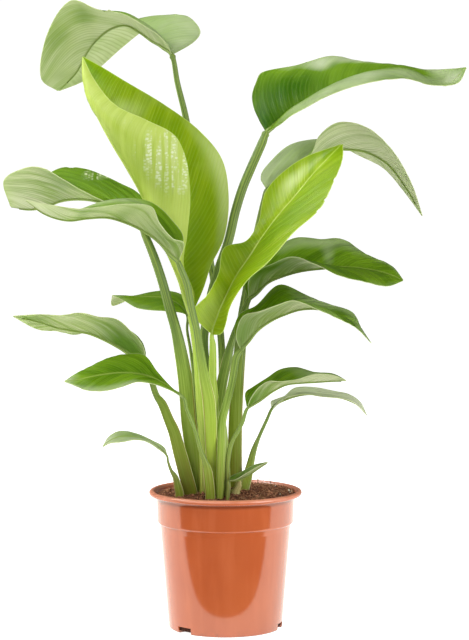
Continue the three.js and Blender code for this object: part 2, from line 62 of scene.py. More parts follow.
def on_sight(stations):
    """Board points (across, up, back) in millimetres, as points of the frame in metres."""
    across, up, back = np.asarray([station[:3] for station in stations], float).T
    height = up - BOARD_UP
    forward = BOARD_DISTANCE * math.cos(EYE_TILT) + height * math.sin(EYE_TILT)
    upward = height * math.cos(EYE_TILT) - BOARD_DISTANCE * math.sin(EYE_TILT)
    reach = (EYE_DISTANCE + back) / forward
    return np.stack([EYE_ACROSS + (across - EYE_ACROSS) * reach, back, EYE_UP + upward * reach], 1) * MM


def smooth_curve(points, shares, before=None):
    """A centripetal Catmull-Rom curve through the points, read at shares from 0 to 1."""
    points = np.asarray(points, float)
    spans = len(points) - 1
    first = 2 * points[0] - points[1] if before is None else before
    padded = np.vstack([first, points, 2 * points[-1] - points[-2]])
    place = np.clip(shares, 0, 1) * spans
    index = np.minimum(place.astype(int), spans - 1)
    part = (place - index)[:, None]
    a, b, c, d = (padded[index + k] for k in range(4))
    ab, bc, cd = (np.maximum(np.linalg.norm(q - p, axis=1, keepdims=True), 1e-9) ** 0.5
                  for p, q in ((a, b), (b, c), (c, d)))
    leave = ((b - a) / ab - (c - a) / (ab + bc) + (c - b) / bc) * bc
    arrive = ((c - b) / bc - (d - b) / (bc + cd) + (d - c) / cd) * bc
    return (b + leave * part + (-3 * b + 3 * c - 2 * leave - arrive) * part ** 2
            + (2 * b - 2 * c + leave + arrive) * part ** 3)


def unit(vectors):
    return vectors / np.maximum(np.linalg.norm(vectors, axis=-1, keepdims=True), 1e-12)


def step_between(value, low, high):
    share = np.clip((value - low) / (high - low), 0, 1)
    return share * share * (3 - 2 * share)


print("a board point 100 mm behind:", on_sight([(200, 600, 100)]).round(4))

# %% [markdown]
# ## The leaves, as drawn
# Each leaf has a midrib and two margins. Left and right are as seen from base to tip with the upper
# face up. The stalk runs from the blade's base down into the soil, and each of its stations adds a
# width and a thickness. The arch says how far each half bulges upward, as a share of its width.
# Three curves are enough, because a real blade is nearly straight across each half.
# Places along a blade are shares from its base, 0, to its tip, 1. The other entries say what
# sets one leaf apart:
# - **slant**, **bend**: how far the side veins lean, left and right, and how much they curve.
# - **tone**, **stalk_tone_and_painted_light**: paler above 0 and deeper below it.
#   Part of this is the leaf's own colour and part is painted light: painted sheen and highlights
#   where it is paler, painted shade where it is deeper.
# - **patches**: place, offset from the midrib (-1 is the left margin, 1 the right), length,
#   width and change of tone. Many of them are painted sheen, highlights or shade.
# - **nicks**: side, place, length and depth of a dent in the margin.
# - **soft_margin**: side, and the two places between which its pale edge line comes in.
# - **pleat**, **bold**: factors on the pleats' height and on how strongly bands and lines show.
# - **calm**: the place from which pleats and veins fade out.
# - **knuckle**: how much thicker the stalk is just below the blade, in millimetres.

# %% The tall leaves
LEAVES = {
    "leaf_top_back": dict(
        slant=(1.5, 0.0),
        bend=0.0,
        knuckle=2.4,
        pleat=0.45,
        bold=0.6,
        tone=0.22,
        patches=[(0.66, -0.55, 0.05, 0.3, -0.7), (0.78, -0.7, 0.04, 0.35, -0.6), (0.15, 0.6, 0.2, 0.5, 0.2),
                 (0.9, -0.4, 0.04, 0.4, -0.4), (0.5, -0.9, 0.08, 0.25, -0.4)],
        young=False,
        tip=(-209, 669.5, 204),
        arch=(0.1, 0.08),
        nicks=[("left", 0.505, 0.009, -0.12), ("left", 0.53, 0.007, 0.07), ("right", 0.4, 0.02, -0.06)],
        midrib=[
            (-78, 726, 84), (-92, 734, 98), (-106, 744, 114), (-124, 753, 132), (-144, 748, 152),
            (-161, 734, 168), (-173, 718, 182), (-186, 694, 196),
        ],
        left=[
            (-74, 729, 46), (-84, 740, 38), (-99, 750, 42), (-127, 766, 60), (-159, 772, 90),
            (-194, 783, 120), (-222, 744, 146), (-230.5, 686, 176),
        ],
        right=[
            (-40, 731, 92), (-31.5, 745, 118), (-49, 764, 148), (-82, 762, 170), (-108, 742, 188),
            (-131, 723, 200), (-152, 704, 206), (-175, 684, 210),
        ],
        stalk=[
            (-67, 715, 72, 6, 5.5), (-60, 680, 74, 7, 6.5), (-50, 639, 75, 8, 7),
            (-33, 546, 72, 8, 7.5), (-18, 453, 62, 8.5, 8), (-6, 365, 46, 9, 8), (-4, 309, 34, 9.5, 8),
            (-6, 246, 22, 10, 8), (-8, 184, 14, 10, 8), (-8, 122, 10, 10, 8),
        ],
    ),
    "leaf_tall_young": dict(
        slant=(1.45, 0.75),
        tone=0.08,
        patches=[(0.2, 0.1, 0.16, 0.5, -0.4), (0.9, 0.4, 0.09, 0.6, -1.0), (0.71, 0.5, 0.04, 0.3, 0.6),
                 (0.66, 0.7, 0.07, 0.4, -0.4), (0.5, -0.95, 0.25, 0.2, 0.5), (0.9, -0.4, 0.15, 0.6, 0.5),
                 (0.35, -0.6, 0.12, 0.4, 0.3), (0.45, 0.97, 0.18, 0.08, 1.0), (0.3, 0.6, 0.15, 0.35, -0.4)],
        soft_margin=[("left", 0.5, 0.62)],
        young=True,
        tip=(-179, 714, 5),
        arch=(-0.28, -0.16),
        midrib=[
            (-53, 425, -12), (-68, 462, -9), (-86, 499, -4), (-103, 540, 0), (-122, 574, 2),
            (-141, 605, 4), (-158, 636, 5), (-172, 666, 5), (-178, 694, 5),
        ],
        left=[
            (-39, 416, -20), (-52, 452, -30), (-48, 489, -46), (-44, 536, -58), (-49, 584, -62),
            (-63, 614, -60), (-99, 634, -50), (-138, 653, -34), (-163, 683, -14),
        ],
        right=[
            (-28, 422, 0), (-18, 452, 10), (-2, 486, 22), (4, 534, 34), (-4, 584, 42), (-32, 620, 44),
            (-76, 653, 40), (-126, 683, 30), (-159, 703, 16),
        ],
        stalk=[
            (-43, 389, -14, 9, 8), (-38, 365, -15, 11, 9), (-34, 334, -17, 12.5, 9),
            (-32, 309, -18, 13, 9), (-30, 272, -20, 13, 9), (-27, 234, -22, 12.5, 9),
            (-26, 203, -23, 12.5, 9), (-26, 122, -23, 12.5, 9),
        ],
    ),
    "leaf_left_front": dict(
        slant=(2.6, 2.4),
        stalk_tone_and_painted_light=0.45,
        tone=-0.05,
        patches=[(0.2, -0.4, 0.2, 0.5, -0.5), (0.9, 0.0, 0.12, 1.0, 0.5), (0.6, 0.8, 0.2, 0.3, 0.4),
                 (0.5, -0.2, 0.04, 0.5, -0.4), (0.72, -0.4, 0.04, 0.5, -0.4)],
        young=False,
        tip=(-251, 534, -116),
        arch=(0.06, 0.08),
        midrib=[
            (-69, 468, -84), (-84, 484, -88), (-101, 496, -92), (-122, 506, -96), (-147, 513, -100),
            (-172, 512, -104), (-197, 509, -108), (-224, 516, -112),
        ],
        left=[
            (-52, 480, -96), (-66, 486, -112), (-83, 506, -126), (-92, 525, -136), (-122, 529, -144),
            (-152, 526, -148), (-182, 523, -148), (-219, 528, -136),
        ],
        right=[
            (-53, 488, -76), (-68, 510, -70), (-83, 525, -64), (-98, 533, -60), (-127, 536, -58),
            (-154, 532, -60), (-179, 523, -66), (-222, 518, -86),
        ],
        stalk=[
            (-59, 456, -80, 6.5, 6), (-56, 449, -79, 7.5, 7), (-48, 429, -76, 8.5, 7.5),
            (-43, 403, -71, 8.5, 8), (-36, 372, -64, 8.5, 8), (-32, 346, -59, 10, 8),
            (-27, 315, -53, 12.5, 8.5), (-21, 284, -46, 16, 9), (-19, 259, -42, 15.5, 9),
            (-18.5, 234, -37, 14.4, 9), (-16, 196, -31, 14, 9), (-13, 159, -28, 14, 9),
            (-13, 122, -28, 14, 9),
        ],
    ),
    "leaf_left_back": dict(
        slant=(1.4, 2.4),
        stalk_tone_and_painted_light=0.25,
        tone=-0.1,
        nicks=[("right", 0.62, 0.012, 0.05), ("left", 0.3, 0.015, 0.05), ("right", 0.8, 0.01, -0.04)],
        patches=[(0.9, 0.0, 0.18, 1.0, 0.5), (0.4, 0.6, 0.2, 0.4, -0.4), (0.6, -0.5, 0.1, 0.3, -0.4)],
        young=False,
        tip=(-269, 525, 116),
        arch=(0.08, 0.08),
        midrib=[
            (-117, 510, -4), (-132, 522, 8), (-148, 530, 22), (-167, 535, 38), (-188, 536, 56),
            (-207, 533, 74), (-224, 526, 90), (-244, 522, 104),
        ],
        left=[
            (-114, 513, -36), (-133, 524, -40), (-153, 533, -36), (-176, 544, -22), (-202, 559, -2),
            (-226, 573, 22), (-247, 575, 46), (-277, 559, 76),
        ],
        right=[
            (-102, 532, 12), (-112, 545, 38), (-130, 554, 62), (-151, 564, 86), (-176, 573, 104),
            (-206, 574, 118), (-236, 556, 124), (-260, 532, 122),
        ],
        stalk=[
            (-104, 498, -14, 8, 7.5), (-100, 489, -14, 9.5, 9), (-89, 462, -14, 11, 9),
            (-79, 432, -13, 11.5, 9.5), (-71, 403, -13, 12, 9.5), (-62, 372, -12, 13, 10),
            (-56, 344, -11, 16, 10), (-51, 315, -11, 18, 10), (-48, 284, -10, 18.5, 10),
            (-46, 259, -9, 19, 10), (-41.5, 228, -8, 20, 9.5), (-37, 190, -8, 19, 9),
            (-34, 159, -8, 17, 9), (-34, 122, -8, 15, 9),
        ],
    ),
    "leaf_top_right": dict(
        slant=(0.45, 1.6),
        knuckle=2.2,
        pleat=0.55,
        bold=0.5,
        tone=-0.25,
        nicks=[("left", 0.075, 0.018, 0.22), ("left", 0.29, 0.03, -0.05),
               ("right", 0.62, 0.012, 0.04), ("right", 0.68, 0.012, 0.05),
               ("right", 0.76, 0.012, 0.05), ("right", 0.82, 0.01, -0.04)],
        patches=[(0.05, -0.5, 0.22, 0.6, -0.8), (0.62, -0.9, 0.28, 0.42, 0.85), (0.92, -0.1, 0.1, 0.8, 0.8),
                 (0.5, 0.75, 0.5, 0.5, 0.65), (0.35, -0.35, 0.12, 0.3, -0.5), (0.45, -0.6, 0.04, 0.3, 0.5)],
        young=False,
        tip=(302, 700, 36),
        arch=(0.06, 0.1),
        midrib=[
            (61, 629, 46), (78, 643, 44), (99, 656, 42), (121, 668, 40), (149, 682, 38),
            (183, 693, 36), (221, 698, 36), (249, 688, 36), (277, 678, 36),
        ],
        left=[
            (37, 644, 66), (34, 669, 88), (48, 692, 104), (91, 703, 110), (133, 714, 108),
            (166, 708, 104), (218, 700, 94), (253, 697, 78), (283, 698, 58),
        ],
        right=[
            (68, 628, 24), (82, 639, 2), (102, 650, -14), (126, 663, -26), (158, 675, -32),
            (193, 683, -32), (228, 685, -24), (254, 678, -8), (290, 680, 14),
        ],
        stalk=[
            (51, 618, 46, 8, 7), (46, 606, 46, 11, 8.5), (31, 572, 45, 11.5, 9),
            (21.5, 549, 43, 11.5, 9), (12.5, 520, 40, 11.5, 9), (4, 484, 37, 11.5, 9),
            (-8, 449, 33, 11.5, 9), (-17, 419, 29, 11.5, 9), (-24, 384, 24, 11, 9),
            (-27, 359, 21, 11, 9), (-24, 315, 14, 11, 9), (-19, 259, 7, 11.5, 9), (-17, 196, 0, 12, 9),
            (-16, 122, -2, 12, 9),
        ],
    ),
}
print("tall leaves:", len(LEAVES))

# %% The leaves of the middle
LEAVES.update({
    "leaf_small_back": dict(
        slant=(3.5, 3.5),
        patches=[(1.0, 0.4, 0.1, 0.8, 0.9), (0.4, -0.3, 0.3, 0.3, -0.5)],
        young=False,
        tip=(-142, 415, 80),
        arch=(0.08, 0.08),
        midrib=[
            (-61, 405, 40), (-78, 412, 48), (-96, 413, 58), (-112, 414, 66), (-127, 415, 74),
        ],
        left=[
            (-56, 393, 24), (-76, 395, 26), (-93, 396, 36), (-111, 399, 48), (-127, 408, 62),
        ],
        right=[
            (-52, 413, 56), (-69, 420, 72), (-92, 419, 82), (-117, 411, 88), (-142, 402, 88),
        ],
        stalk=[
            (-48, 390, 34, 3.5, 3.5), (-48, 372, 34, 3.5, 3.5), (-44, 348, 33, 4, 4),
            (-39, 309, 28, 5, 4.5), (-36, 246, 18, 5.5, 5), (-33, 163, 8, 6, 5), (-33, 122, 8, 6, 5),
        ],
    ),
    "leaf_young_right": dict(
        slant=(0.8, 0.8),
        tone=-0.25,
        nicks=[("right", 0.66, 0.006, 0.04), ("right", 0.71, 0.005, 0.05), ("right", 0.8, 0.006, 0.05)],
        patches=[(0.84, -0.5, 0.07, 0.3, 1.0), (0.92, 0.1, 0.06, 0.3, 0.5), (0.15, -0.4, 0.18, 0.8, 0.5),
                 (0.6, 0.4, 0.15, 0.4, -0.4), (0.72, -0.1, 0.04, 0.2, 0.4), (0.5, -0.6, 0.05, 0.3, -0.4)],
        young=True,
        tip=(147, 605, 4),
        arch=(-0.08, 0.04),
        midrib=[
            (-9, 392, -26), (1, 415, -26), (14, 440, -24), (31, 465, -22), (47, 490, -18),
            (64, 513, -14), (87, 539, -8), (111, 568, -2),
        ],
        left=[
            (-41, 394, -40), (-23, 415, -46), (-9, 442, -34), (-2, 474, -20), (26, 483, -4),
            (41, 506, 4), (51, 546, 16), (91, 583, 20),
        ],
        right=[
            (-4, 368, -40), (7, 403, -52), (27, 433, -60), (53, 456, -64), (86, 494, -66),
            (118, 523, -62), (134, 554, -48), (146, 584, -24),
        ],
        stalk=[
            (-17, 365, -24, 5, 5), (-16, 353, -24, 8, 6.5), (-16, 334, -24, 9.5, 7.5),
            (-16, 309, -22, 10, 8), (-14, 284, -21, 11, 8), (-14, 246, -20, 12, 8),
            (-13, 209, -18, 12, 8), (-13, 163, -18, 12, 8), (-13, 122, -18, 12, 8),
        ],
    ),
    "leaf_drooping_right": dict(
        slant=(2.2, 2.2),
        calm=0.9,
        stalk_tone_and_painted_light=-0.5,
        tone=0.4,
        patches=[(0.2, -0.5, 0.2, 0.4, 0.05), (0.7, 0.2, 0.25, 0.3, 0.2), (0.45, 0.8, 0.2, 0.3, -0.4)],
        young=False,
        tip=(247, 512, 62),
        arch=(0.08, 0.1),
        midrib=[
            (64, 558, 48), (84, 574, 50), (108, 589, 52), (131, 597, 54), (152, 598, 56),
            (177, 594, 58), (203, 579, 60), (226, 549, 62),
        ],
        left=[
            (44, 563, 68), (58, 584, 92), (81, 603, 108), (108, 609, 116), (136, 605, 118),
            (166, 590, 114), (197, 574, 104), (222, 546, 86),
        ],
        right=[
            (72, 552, 38), (93, 572, 32), (109, 594, 24), (117, 614, 18), (141, 631, 16),
            (176, 625, 18), (207, 598, 26), (232, 556, 42),
        ],
        stalk=[
            (52, 546, 46, 7, 6), (49, 534, 46, 8.5, 7), (42, 503, 47, 9.5, 8),
            (34, 465, 47, 10.5, 8.5), (27, 422, 42, 11.5, 9), (21, 384, 34, 13, 9.5),
            (18, 346, 26, 15, 10), (15, 309, 18, 16.5, 10), (13, 272, 11, 17, 10),
            (12, 234, 5, 17.5, 10), (12, 190, -1, 17.5, 10), (12, 122, -4, 16, 10),
        ],
    ),
    "leaf_right_upper": dict(
        slant=(1.1, 1.1),
        patches=[(0.15, 0.0, 0.2, 0.9, -0.5), (0.55, -0.8, 0.3, 0.3, 0.4), (0.8, 0.2, 0.15, 0.5, -0.3),
                 (0.5, 0.5, 0.04, 0.3, 0.45), (0.3, 0.7, 0.2, 0.4, -0.8), (0.6, -0.3, 0.03, 0.3, 0.4)],
        young=False,
        tip=(223, 433, -6),
        arch=(0.1, 0.06),
        midrib=[
            (38, 419, 6), (52, 432, 6), (71, 440, 6), (93, 446, 4), (118, 449, 2), (146, 450, 0),
            (173, 448, -2), (201, 442, -4),
        ],
        left=[
            (24, 434, 18), (41, 456, 32), (62, 474, 46), (89, 487, 56), (118, 485, 60), (146, 485, 58),
            (176, 466, 50), (207, 452, 30),
        ],
        right=[
            (29, 433, -10), (38, 446, -26), (56, 453, -40), (83, 463, -52), (111, 454, -58),
            (143, 439, -60), (172, 432, -54), (201, 426, -36),
        ],
        stalk=[
            (29, 409, 6, 6.5, 6), (25, 400, 6, 8, 6.5), (18, 384, 7, 8, 7), (8, 358, 4, 8.5, 7.5),
            (1, 330, 0, 13, 8), (-5, 302, -5, 13.5, 8), (-8, 274, -10, 12.5, 8), (-4, 246, -11, 12, 8),
            (-1, 209, -13, 12, 8), (1, 163, -15, 12, 8), (1, 122, -15, 12, 8),
        ],
    ),
    "leaf_right_middle": dict(
        slant=(1.1, 1.3),
        patches=[(0.12, 0.5, 0.2, 0.8, -0.8), (0.65, -0.6, 0.12, 0.4, 0.45), (0.95, 0.0, 0.1, 1.0, 0.4)],
        young=False,
        tip=(183, 354, -40),
        arch=(0.08, 0.06),
        midrib=[
            (27, 358, -24), (39, 372, -26), (56, 384, -28), (74, 392, -30), (94, 398, -32),
            (118, 398, -34), (143, 389, -36), (166, 374, -38),
        ],
        left=[
            (11, 372, -16), (18, 391, -8), (38, 402, 8), (68, 428, 22), (101, 415, 24), (132, 401, 18),
            (159, 393, 6), (171, 370, -16),
        ],
        right=[
            (13, 365, -36), (22, 389, -50), (41, 394, -64), (63, 402, -74), (86, 408, -80),
            (113, 398, -82), (142, 385, -78), (163, 374, -62),
        ],
        stalk=[
            (19, 346, -22, 6.5, 5.5), (14, 339, -23, 9, 6.5), (11, 324, -24, 9, 6.5),
            (7, 302, -26, 9, 6.5), (1, 279, -29, 9.5, 6.5), (-4, 259, -33, 10.5, 6.5),
            (-5, 234, -39, 10.5, 6.5), (-6, 196, -42, 10.5, 7), (-7, 163, -42, 10, 7),
            (-7, 122, -42, 10, 7),
        ],
    ),
})
print("leaves down to the middle:", len(LEAVES))

# %% The low leaves
LEAVES.update({
    "leaf_right_lower": dict(
        slant=(1.4, 1.4),
        patches=[(0.85, 0.0, 0.2, 1.0, 0.5), (0.3, -0.5, 0.2, 0.5, -0.3), (0.12, 0.5, 0.2, 0.7, -0.9)],
        young=False,
        tip=(152, 308, -50),
        arch=(0.06, 0.06),
        midrib=[
            (34, 279, -36), (46, 287, -38), (59, 296, -40), (76, 304, -42), (94, 306, -44),
            (114, 307, -46), (134, 308, -48),
        ],
        left=[
            (25, 293, -26), (34, 300, -18), (51, 311, -10), (68, 322, -6), (88, 325, -6),
            (111, 319, -12), (134, 317, -28),
        ],
        right=[
            (31, 285, -46), (41, 299, -56), (53, 307, -64), (72, 307, -70), (91, 310, -74),
            (111, 316, -76), (133, 315, -68),
        ],
        stalk=[
            (27, 273, -34, 4, 4), (21, 256, -35, 5, 4.5), (14, 243, -36, 5, 4.5),
            (8, 232, -37, 5.5, 4.5), (4, 216, -38, 6, 4.5), (2, 190, -38, 6, 4.5),
            (2, 122, -38, 6, 4.5),
        ],
    ),
    "leaf_right_lowest": dict(
        slant=(2.5, 2.5),
        tone=1.1,
        patches=[(0.25, 0.0, 0.1, 1.0, -0.3)],
        young=False,
        tip=(177, 264, -15),
        arch=(0.08, 0.06),
        midrib=[
            (67, 282, 4), (81, 288, 2), (101, 292, 0), (121, 291, -3), (141, 288, -6), (157, 283, -9),
            (168, 276, -12),
        ],
        left=[
            (57, 282, 14), (71, 287, 22), (86, 299, 30), (108, 300, 32), (134, 295, 28),
            (152, 292, 20), (168, 282, 4),
        ],
        right=[
            (66, 279, -6), (79, 288, -18), (99, 291, -28), (121, 288, -36), (142, 286, -38),
            (156, 283, -36), (167, 275, -28),
        ],
        stalk=[
            (58, 273, 6, 3.5, 3.5), (52, 260, 5, 4, 4), (42, 238, 2, 4.5, 4.5), (36, 223, -1, 7, 5.5),
            (31, 204, -4, 9.5, 6), (27.5, 188, -8, 12, 6), (24, 168, -14, 10, 6),
            (24, 122, -16, 9, 6),
        ],
    ),
    "leaf_left_lowest": dict(
        slant=(2.0, 2.0),
        tone=0.45,
        patches=[(0.55, 0.2, 0.2, 0.5, -0.3), (0.95, 0.0, 0.2, 1.0, 0.4)],
        young=False,
        tip=(-154, 225, -54),
        arch=(0.06, 0.06),
        midrib=[
            (-84, 225, -34), (-97, 233, -38), (-113, 237, -42), (-131, 238, -46), (-144, 233, -50),
        ],
        left=[
            (-84, 222.5, -40), (-97, 231, -50), (-112, 234, -58), (-131, 231, -62), (-143, 230, -60),
        ],
        right=[
            (-76, 224, -27), (-93, 234, -25), (-114, 243, -26), (-133, 245, -32), (-146, 238, -42),
        ],
        stalk=[
            (-73, 214, -30, 2.5, 2.5), (-72, 208, -30, 2.8, 2.8), (-68, 196, -30, 4, 3.5),
            (-63, 188, -30, 7, 4.5), (-59.5, 176, -30, 9.5, 5), (-57, 163, -30, 10.5, 5),
            (-56, 122, -30, 9, 5),
        ],
    ),
    "leaf_left_middle": dict(
        slant=(2.4, 2.4),
        stalk_tone_and_painted_light=-0.55,
        tone=-0.1,
        patches=[(0.16, 0.0, 0.24, 1.0, -1.2), (0.55, 0.5, 0.15, 0.5, 0.4), (0.92, -0.2, 0.12, 0.6, -0.6),
                 (0.7, -0.6, 0.1, 0.3, 0.4)],
        young=False,
        tip=(-267, 389, -36),
        arch=(0.08, 0.06),
        midrib=[
            (-114, 339, -22), (-132, 350, -24), (-151, 360, -26), (-171, 368, -28), (-191, 371, -30),
            (-212, 375, -32), (-234, 382, -34),
        ],
        left=[
            (-104, 353, -34), (-118, 370, -48), (-136, 385, -58), (-158, 388, -64), (-182, 393, -66),
            (-204, 390, -64), (-232, 391, -54),
        ],
        right=[
            (-101, 349, -8), (-109, 363, 4), (-127, 375, 10), (-151, 382, 12), (-184, 366, 8),
            (-211, 370, 0), (-234, 372, -12),
        ],
        stalk=[
            (-99, 334, -20, 5.5, 5), (-91, 303, -21, 7.5, 6), (-86, 289, -21, 8, 6.5),
            (-79, 279, -22, 11, 7), (-71, 260, -22, 12.5, 7.5), (-64.5, 245, -22, 14.5, 8),
            (-57, 218, -21, 16.5, 8), (-49.5, 190, -20, 17.5, 8), (-42.5, 163, -20, 16.5, 8),
            (-41, 122, -20, 14, 8),
        ],
    ),
    "leaf_left_lower": dict(
        slant=(1.4, 1.4),
        patches=[(0.99, 0.0, 0.1, 1.0, 0.7), (0.6, -0.95, 0.4, 0.2, 0.35), (0.4, 0.3, 0.25, 0.5, -0.5)],
        young=False,
        tip=(-202, 307, -104),
        arch=(0.06, 0.06),
        midrib=[
            (-68, 299, -66), (-87, 310, -72), (-106, 316, -78), (-128, 318, -84), (-151, 316, -90),
            (-173, 312, -96), (-189, 308, -100),
        ],
        left=[
            (-69, 296, -74), (-92, 304, -90), (-112, 306, -104), (-133, 299, -112), (-153, 295, -116),
            (-174, 296, -116), (-189, 302, -112),
        ],
        right=[
            (-71, 303, -60), (-86, 320, -56), (-102, 340, -52), (-127, 341, -54), (-148, 336, -60),
            (-171, 325, -72), (-187, 317, -86),
        ],
        stalk=[
            (-52, 286, -62, 4.5, 4), (-49, 274, -60, 4, 4), (-43, 259, -57, 4.5, 4.5),
            (-38, 246, -54, 4.5, 4.5), (-34, 232, -51, 4.8, 4.8), (-30, 218, -49, 5.5, 5),
            (-25.5, 207, -48, 7, 6), (-22.5, 196, -48, 11, 6), (-20.5, 181, -47, 12, 6),
            (-19, 163, -46, 12, 6), (-19, 122, -46, 10, 6),
        ],
    ),
    "leaf_smallest": dict(
        slant=(2.0, 2.0),
        tone=0.1,
        young=False,
        tip=(54, 207, -44),
        arch=(0, 0),
        midrib=[
            (14, 184, -44), (27, 190, -44), (41, 199, -44),
        ],
        left=[
            (6, 188, -38), (19, 194, -36), (36, 203, -37),
        ],
        right=[
            (11, 184, -52), (27, 193, -55), (41, 201, -53),
        ],
        stalk=[
            (4, 183, -44, 3.5, 3.5), (4, 174, -45, 5, 4), (3, 163, -46, 5, 4), (3, 122, -46, 5, 4),
        ],
    ),
})
print("leaves:", len(LEAVES))

# %% [markdown]
# ## From drawn curves to a mesh
# A mesh is easiest to control here when its corners are laid out in code, row by row. One helper
# takes lists of corners and faces, keeps named values on every corner for the materials to read,
# and marks the sharp edges, so that a thin margin stays crisp while the blade is shaded smooth.
# On a blade, the values are metres from the midrib (rib) and from the margin (rim), the share from
# base to tip (reach) and the place of the side vein (vein). On a stalk, rib is its width, rim how
# much of a sheath it is, reach how far up the keel it is, along its height, and sideways and front
# the place round the rod. Each leaf has its own random shade, and a tone and a bold of its own.
# The tone is partly the leaf's own colour and partly painted light: sheen, highlights and shade.

# %% Mesh helper
LEAF_VALUES = ("vein", "rib", "rim", "reach", "along", "sideways", "front", "shade", "tone", "bold")


class Shape:
    """Corners, faces, values and sharp edges, gathered piece by piece before one mesh is made."""

    def __init__(self, names=()):
        self.points, self.faces, self.finishes, self.sharp = [], [], [], []
        self.values = {name: [] for name in names}
        self.count = 0

    def add(self, points, faces, finish, sharp=(), **values):
        points = np.asarray(points, float).reshape(-1, 3)
        self.points.append(points)
        self.faces += [[corner + self.count for corner in face] for face in faces]
        self.finishes += [finish] * len(faces) if np.isscalar(finish) else list(finish)
        self.sharp += [(a + self.count, b + self.count) for a, b in sharp]
        for name in self.values:
            value = np.broadcast_to(values.get(name, 0.0), len(points))
            self.values[name].append(np.asarray(value, float))
        self.count += len(points)

    def build(self, name, materials, crease=None):
        mesh = bpy.data.meshes.new(name)
        mesh.from_pydata(np.concatenate(self.points).tolist(), [], self.faces)
        mesh.polygons.foreach_set("material_index", self.finishes)
        mesh.polygons.foreach_set("use_smooth", [True] * len(self.faces))
        for key, parts in self.values.items():
            layer = mesh.attributes.new(key, "FLOAT", "POINT")
            layer.data.foreach_set("value", np.concatenate(parts).astype(np.float32))
        if self.sharp:
            ends = np.zeros(len(mesh.edges) * 2, np.int64)
            mesh.edges.foreach_get("vertices", ends)
            one_number = np.array([self.count, 1])
            found = np.sort(ends.reshape(-1, 2), axis=1) @ one_number
            wanted = np.sort(np.asarray(self.sharp), axis=1) @ one_number
            layer = mesh.attributes.new("sharp_edge", "BOOLEAN", "EDGE")
            layer.data.foreach_set("value", np.isin(found, wanted))
        for material in materials:
            mesh.materials.append(material)
        if crease is not None:
            mesh.set_sharp_from_angle(angle=math.radians(crease))
        mesh.validate()
        mesh.update()
        made = bpy.data.objects.new(name, mesh)
        bpy.context.scene.collection.objects.link(made)
        return made


def grid_faces(rows, columns, start=0, flip=False, closed=False):
    """Quads between neighbouring rows of corners. closed joins the last column to the first."""
    faces = []
    for i in range(rows - 1):
        for j in range(columns if closed else columns - 1):
            k = (j + 1) % columns
            face = (start + i * columns + j, start + i * columns + k,
                    start + (i + 1) * columns + k, start + (i + 1) * columns + j)
            faces.append(face[::-1] if flip else face)
    return faces


def tube_faces(rows, columns, flip=False):
    """The faces of a tube of rings, with a cap at each end."""
    caps = [tuple(range(columns - 1, -1, -1)), tuple(range((rows - 1) * columns, rows * columns))]
    return grid_faces(rows, columns, flip=flip, closed=True) + caps


def sheet_faces(rows, columns):
    """An upper grid, a lower grid and the wall round them, and the edges of the upper grid's rim."""
    lower = rows * columns
    ring = (list(range(columns)) + [i * columns + columns - 1 for i in range(1, rows)]
            + [(rows - 1) * columns + j for j in range(columns - 2, -1, -1)]
            + [i * columns for i in range(rows - 2, 0, -1)])
    edges = list(zip(ring, ring[1:] + ring[:1]))
    walls = [(b, a, a + lower, b + lower) for a, b in edges]
    return grid_faces(rows, columns) + grid_faces(rows, columns, lower, flip=True) + walls, edges


print("a sheet of 3 by 3 corners has", len(sheet_faces(3, 3)[0]), "faces")

# %% [markdown]
# ## A blade
# The blade is a closed sheet about 0.7 mm thick, with an upper grid, a lower grid and a narrow wall
# round the margin. Two things make it look grown. It is pleated lightly along its side veins, which
# leave the midrib at a slant and bend forward. The upper face also has a groove over the midrib.
# The slant is stored as one value per corner, "vein", so pleats and colours follow the same lines.
# A blade isn't one even green either. Each leaf may name a few soft patches, and every corner keeps
# how pale or how deep it is there. Part of that is the leaf's own colour and part is painted light:
# painted sheen and highlights where it is paler, painted shade where it is deeper.

# %% Blade values
BLADE_THICKNESS = 0.7 * MM
BLADE_RUN = (0.012, 0.994)                # the sheet's first and last row, as shares of the midrib
COLUMN_CROWDING = 1.25                    # above 1, the columns lie closer together by the midrib
TIP_CALM = (0.84, 0.96)                   # pleats and veins fade out between these shares
CALM_LENGTH, LAST_LENGTH = 0.12, 0.04     # the share that this takes, and what is left of the tip
USUAL_VEIN_BEND = 2.0                     # metres forward for each square metre outward
TOO_NARROW = (0.16, 0.3)                  # a fold fades as one mesh step takes up this much of it
PLEAT_FROM_RIB, PLEAT_FROM_RIM = 12 * MM, 10 * MM
PLEAT_AT_RIM = 0.4                        # height left at the margin
GROOVE_DEPTH, GROOVE_WIDTH, GROOVE_FADE = 1.0 * MM, 1.5 * MM, 0.7
GROOVE_STARTS = (8 * MM, 26 * MM)
RIM_HIDDEN = 6 * MM                       # moves a margin out of its pale line's reach
UPPER, UNDER, STALK = 0, 1, 2


def blade_surface(leaf, along, across):
    """The middle surface: rows from base to tip, columns from the left to the right margin."""
    base = leaf["stalk"][0]
    midrib = smooth_curve(on_sight([base, *leaf["midrib"], leaf["tip"]]), along,
                          before=on_sight([leaf["stalk"][1]])[0])
    forward = unit(np.gradient(midrib, axis=0))
    halves = []
    for side, sign in (("left", -1), ("right", 1)):
        margin = smooth_curve(on_sight([base, *leaf[side], leaf["tip"]]), along)
        spread = margin - midrib
        upward = unit(np.cross(spread, forward)) * sign
        bulge = leaf["arch"][0 if sign < 0 else 1] * np.linalg.norm(spread, axis=1)
        halves.append([midrib + spread * share + upward * (bulge * 4 * share * (1 - share))[:, None]
                       for share in across])
    rows = np.stack(halves[0][::-1] + [midrib] + halves[1], 1)
    widths = np.linalg.norm(rows[:, [0, -1]] - midrib[:, None], axis=2)
    return rows, widths


def surface_normals(rows):
    along = np.gradient(rows, axis=0)
    across = np.gradient(rows, axis=1)
    return unit(np.cross(across, along))


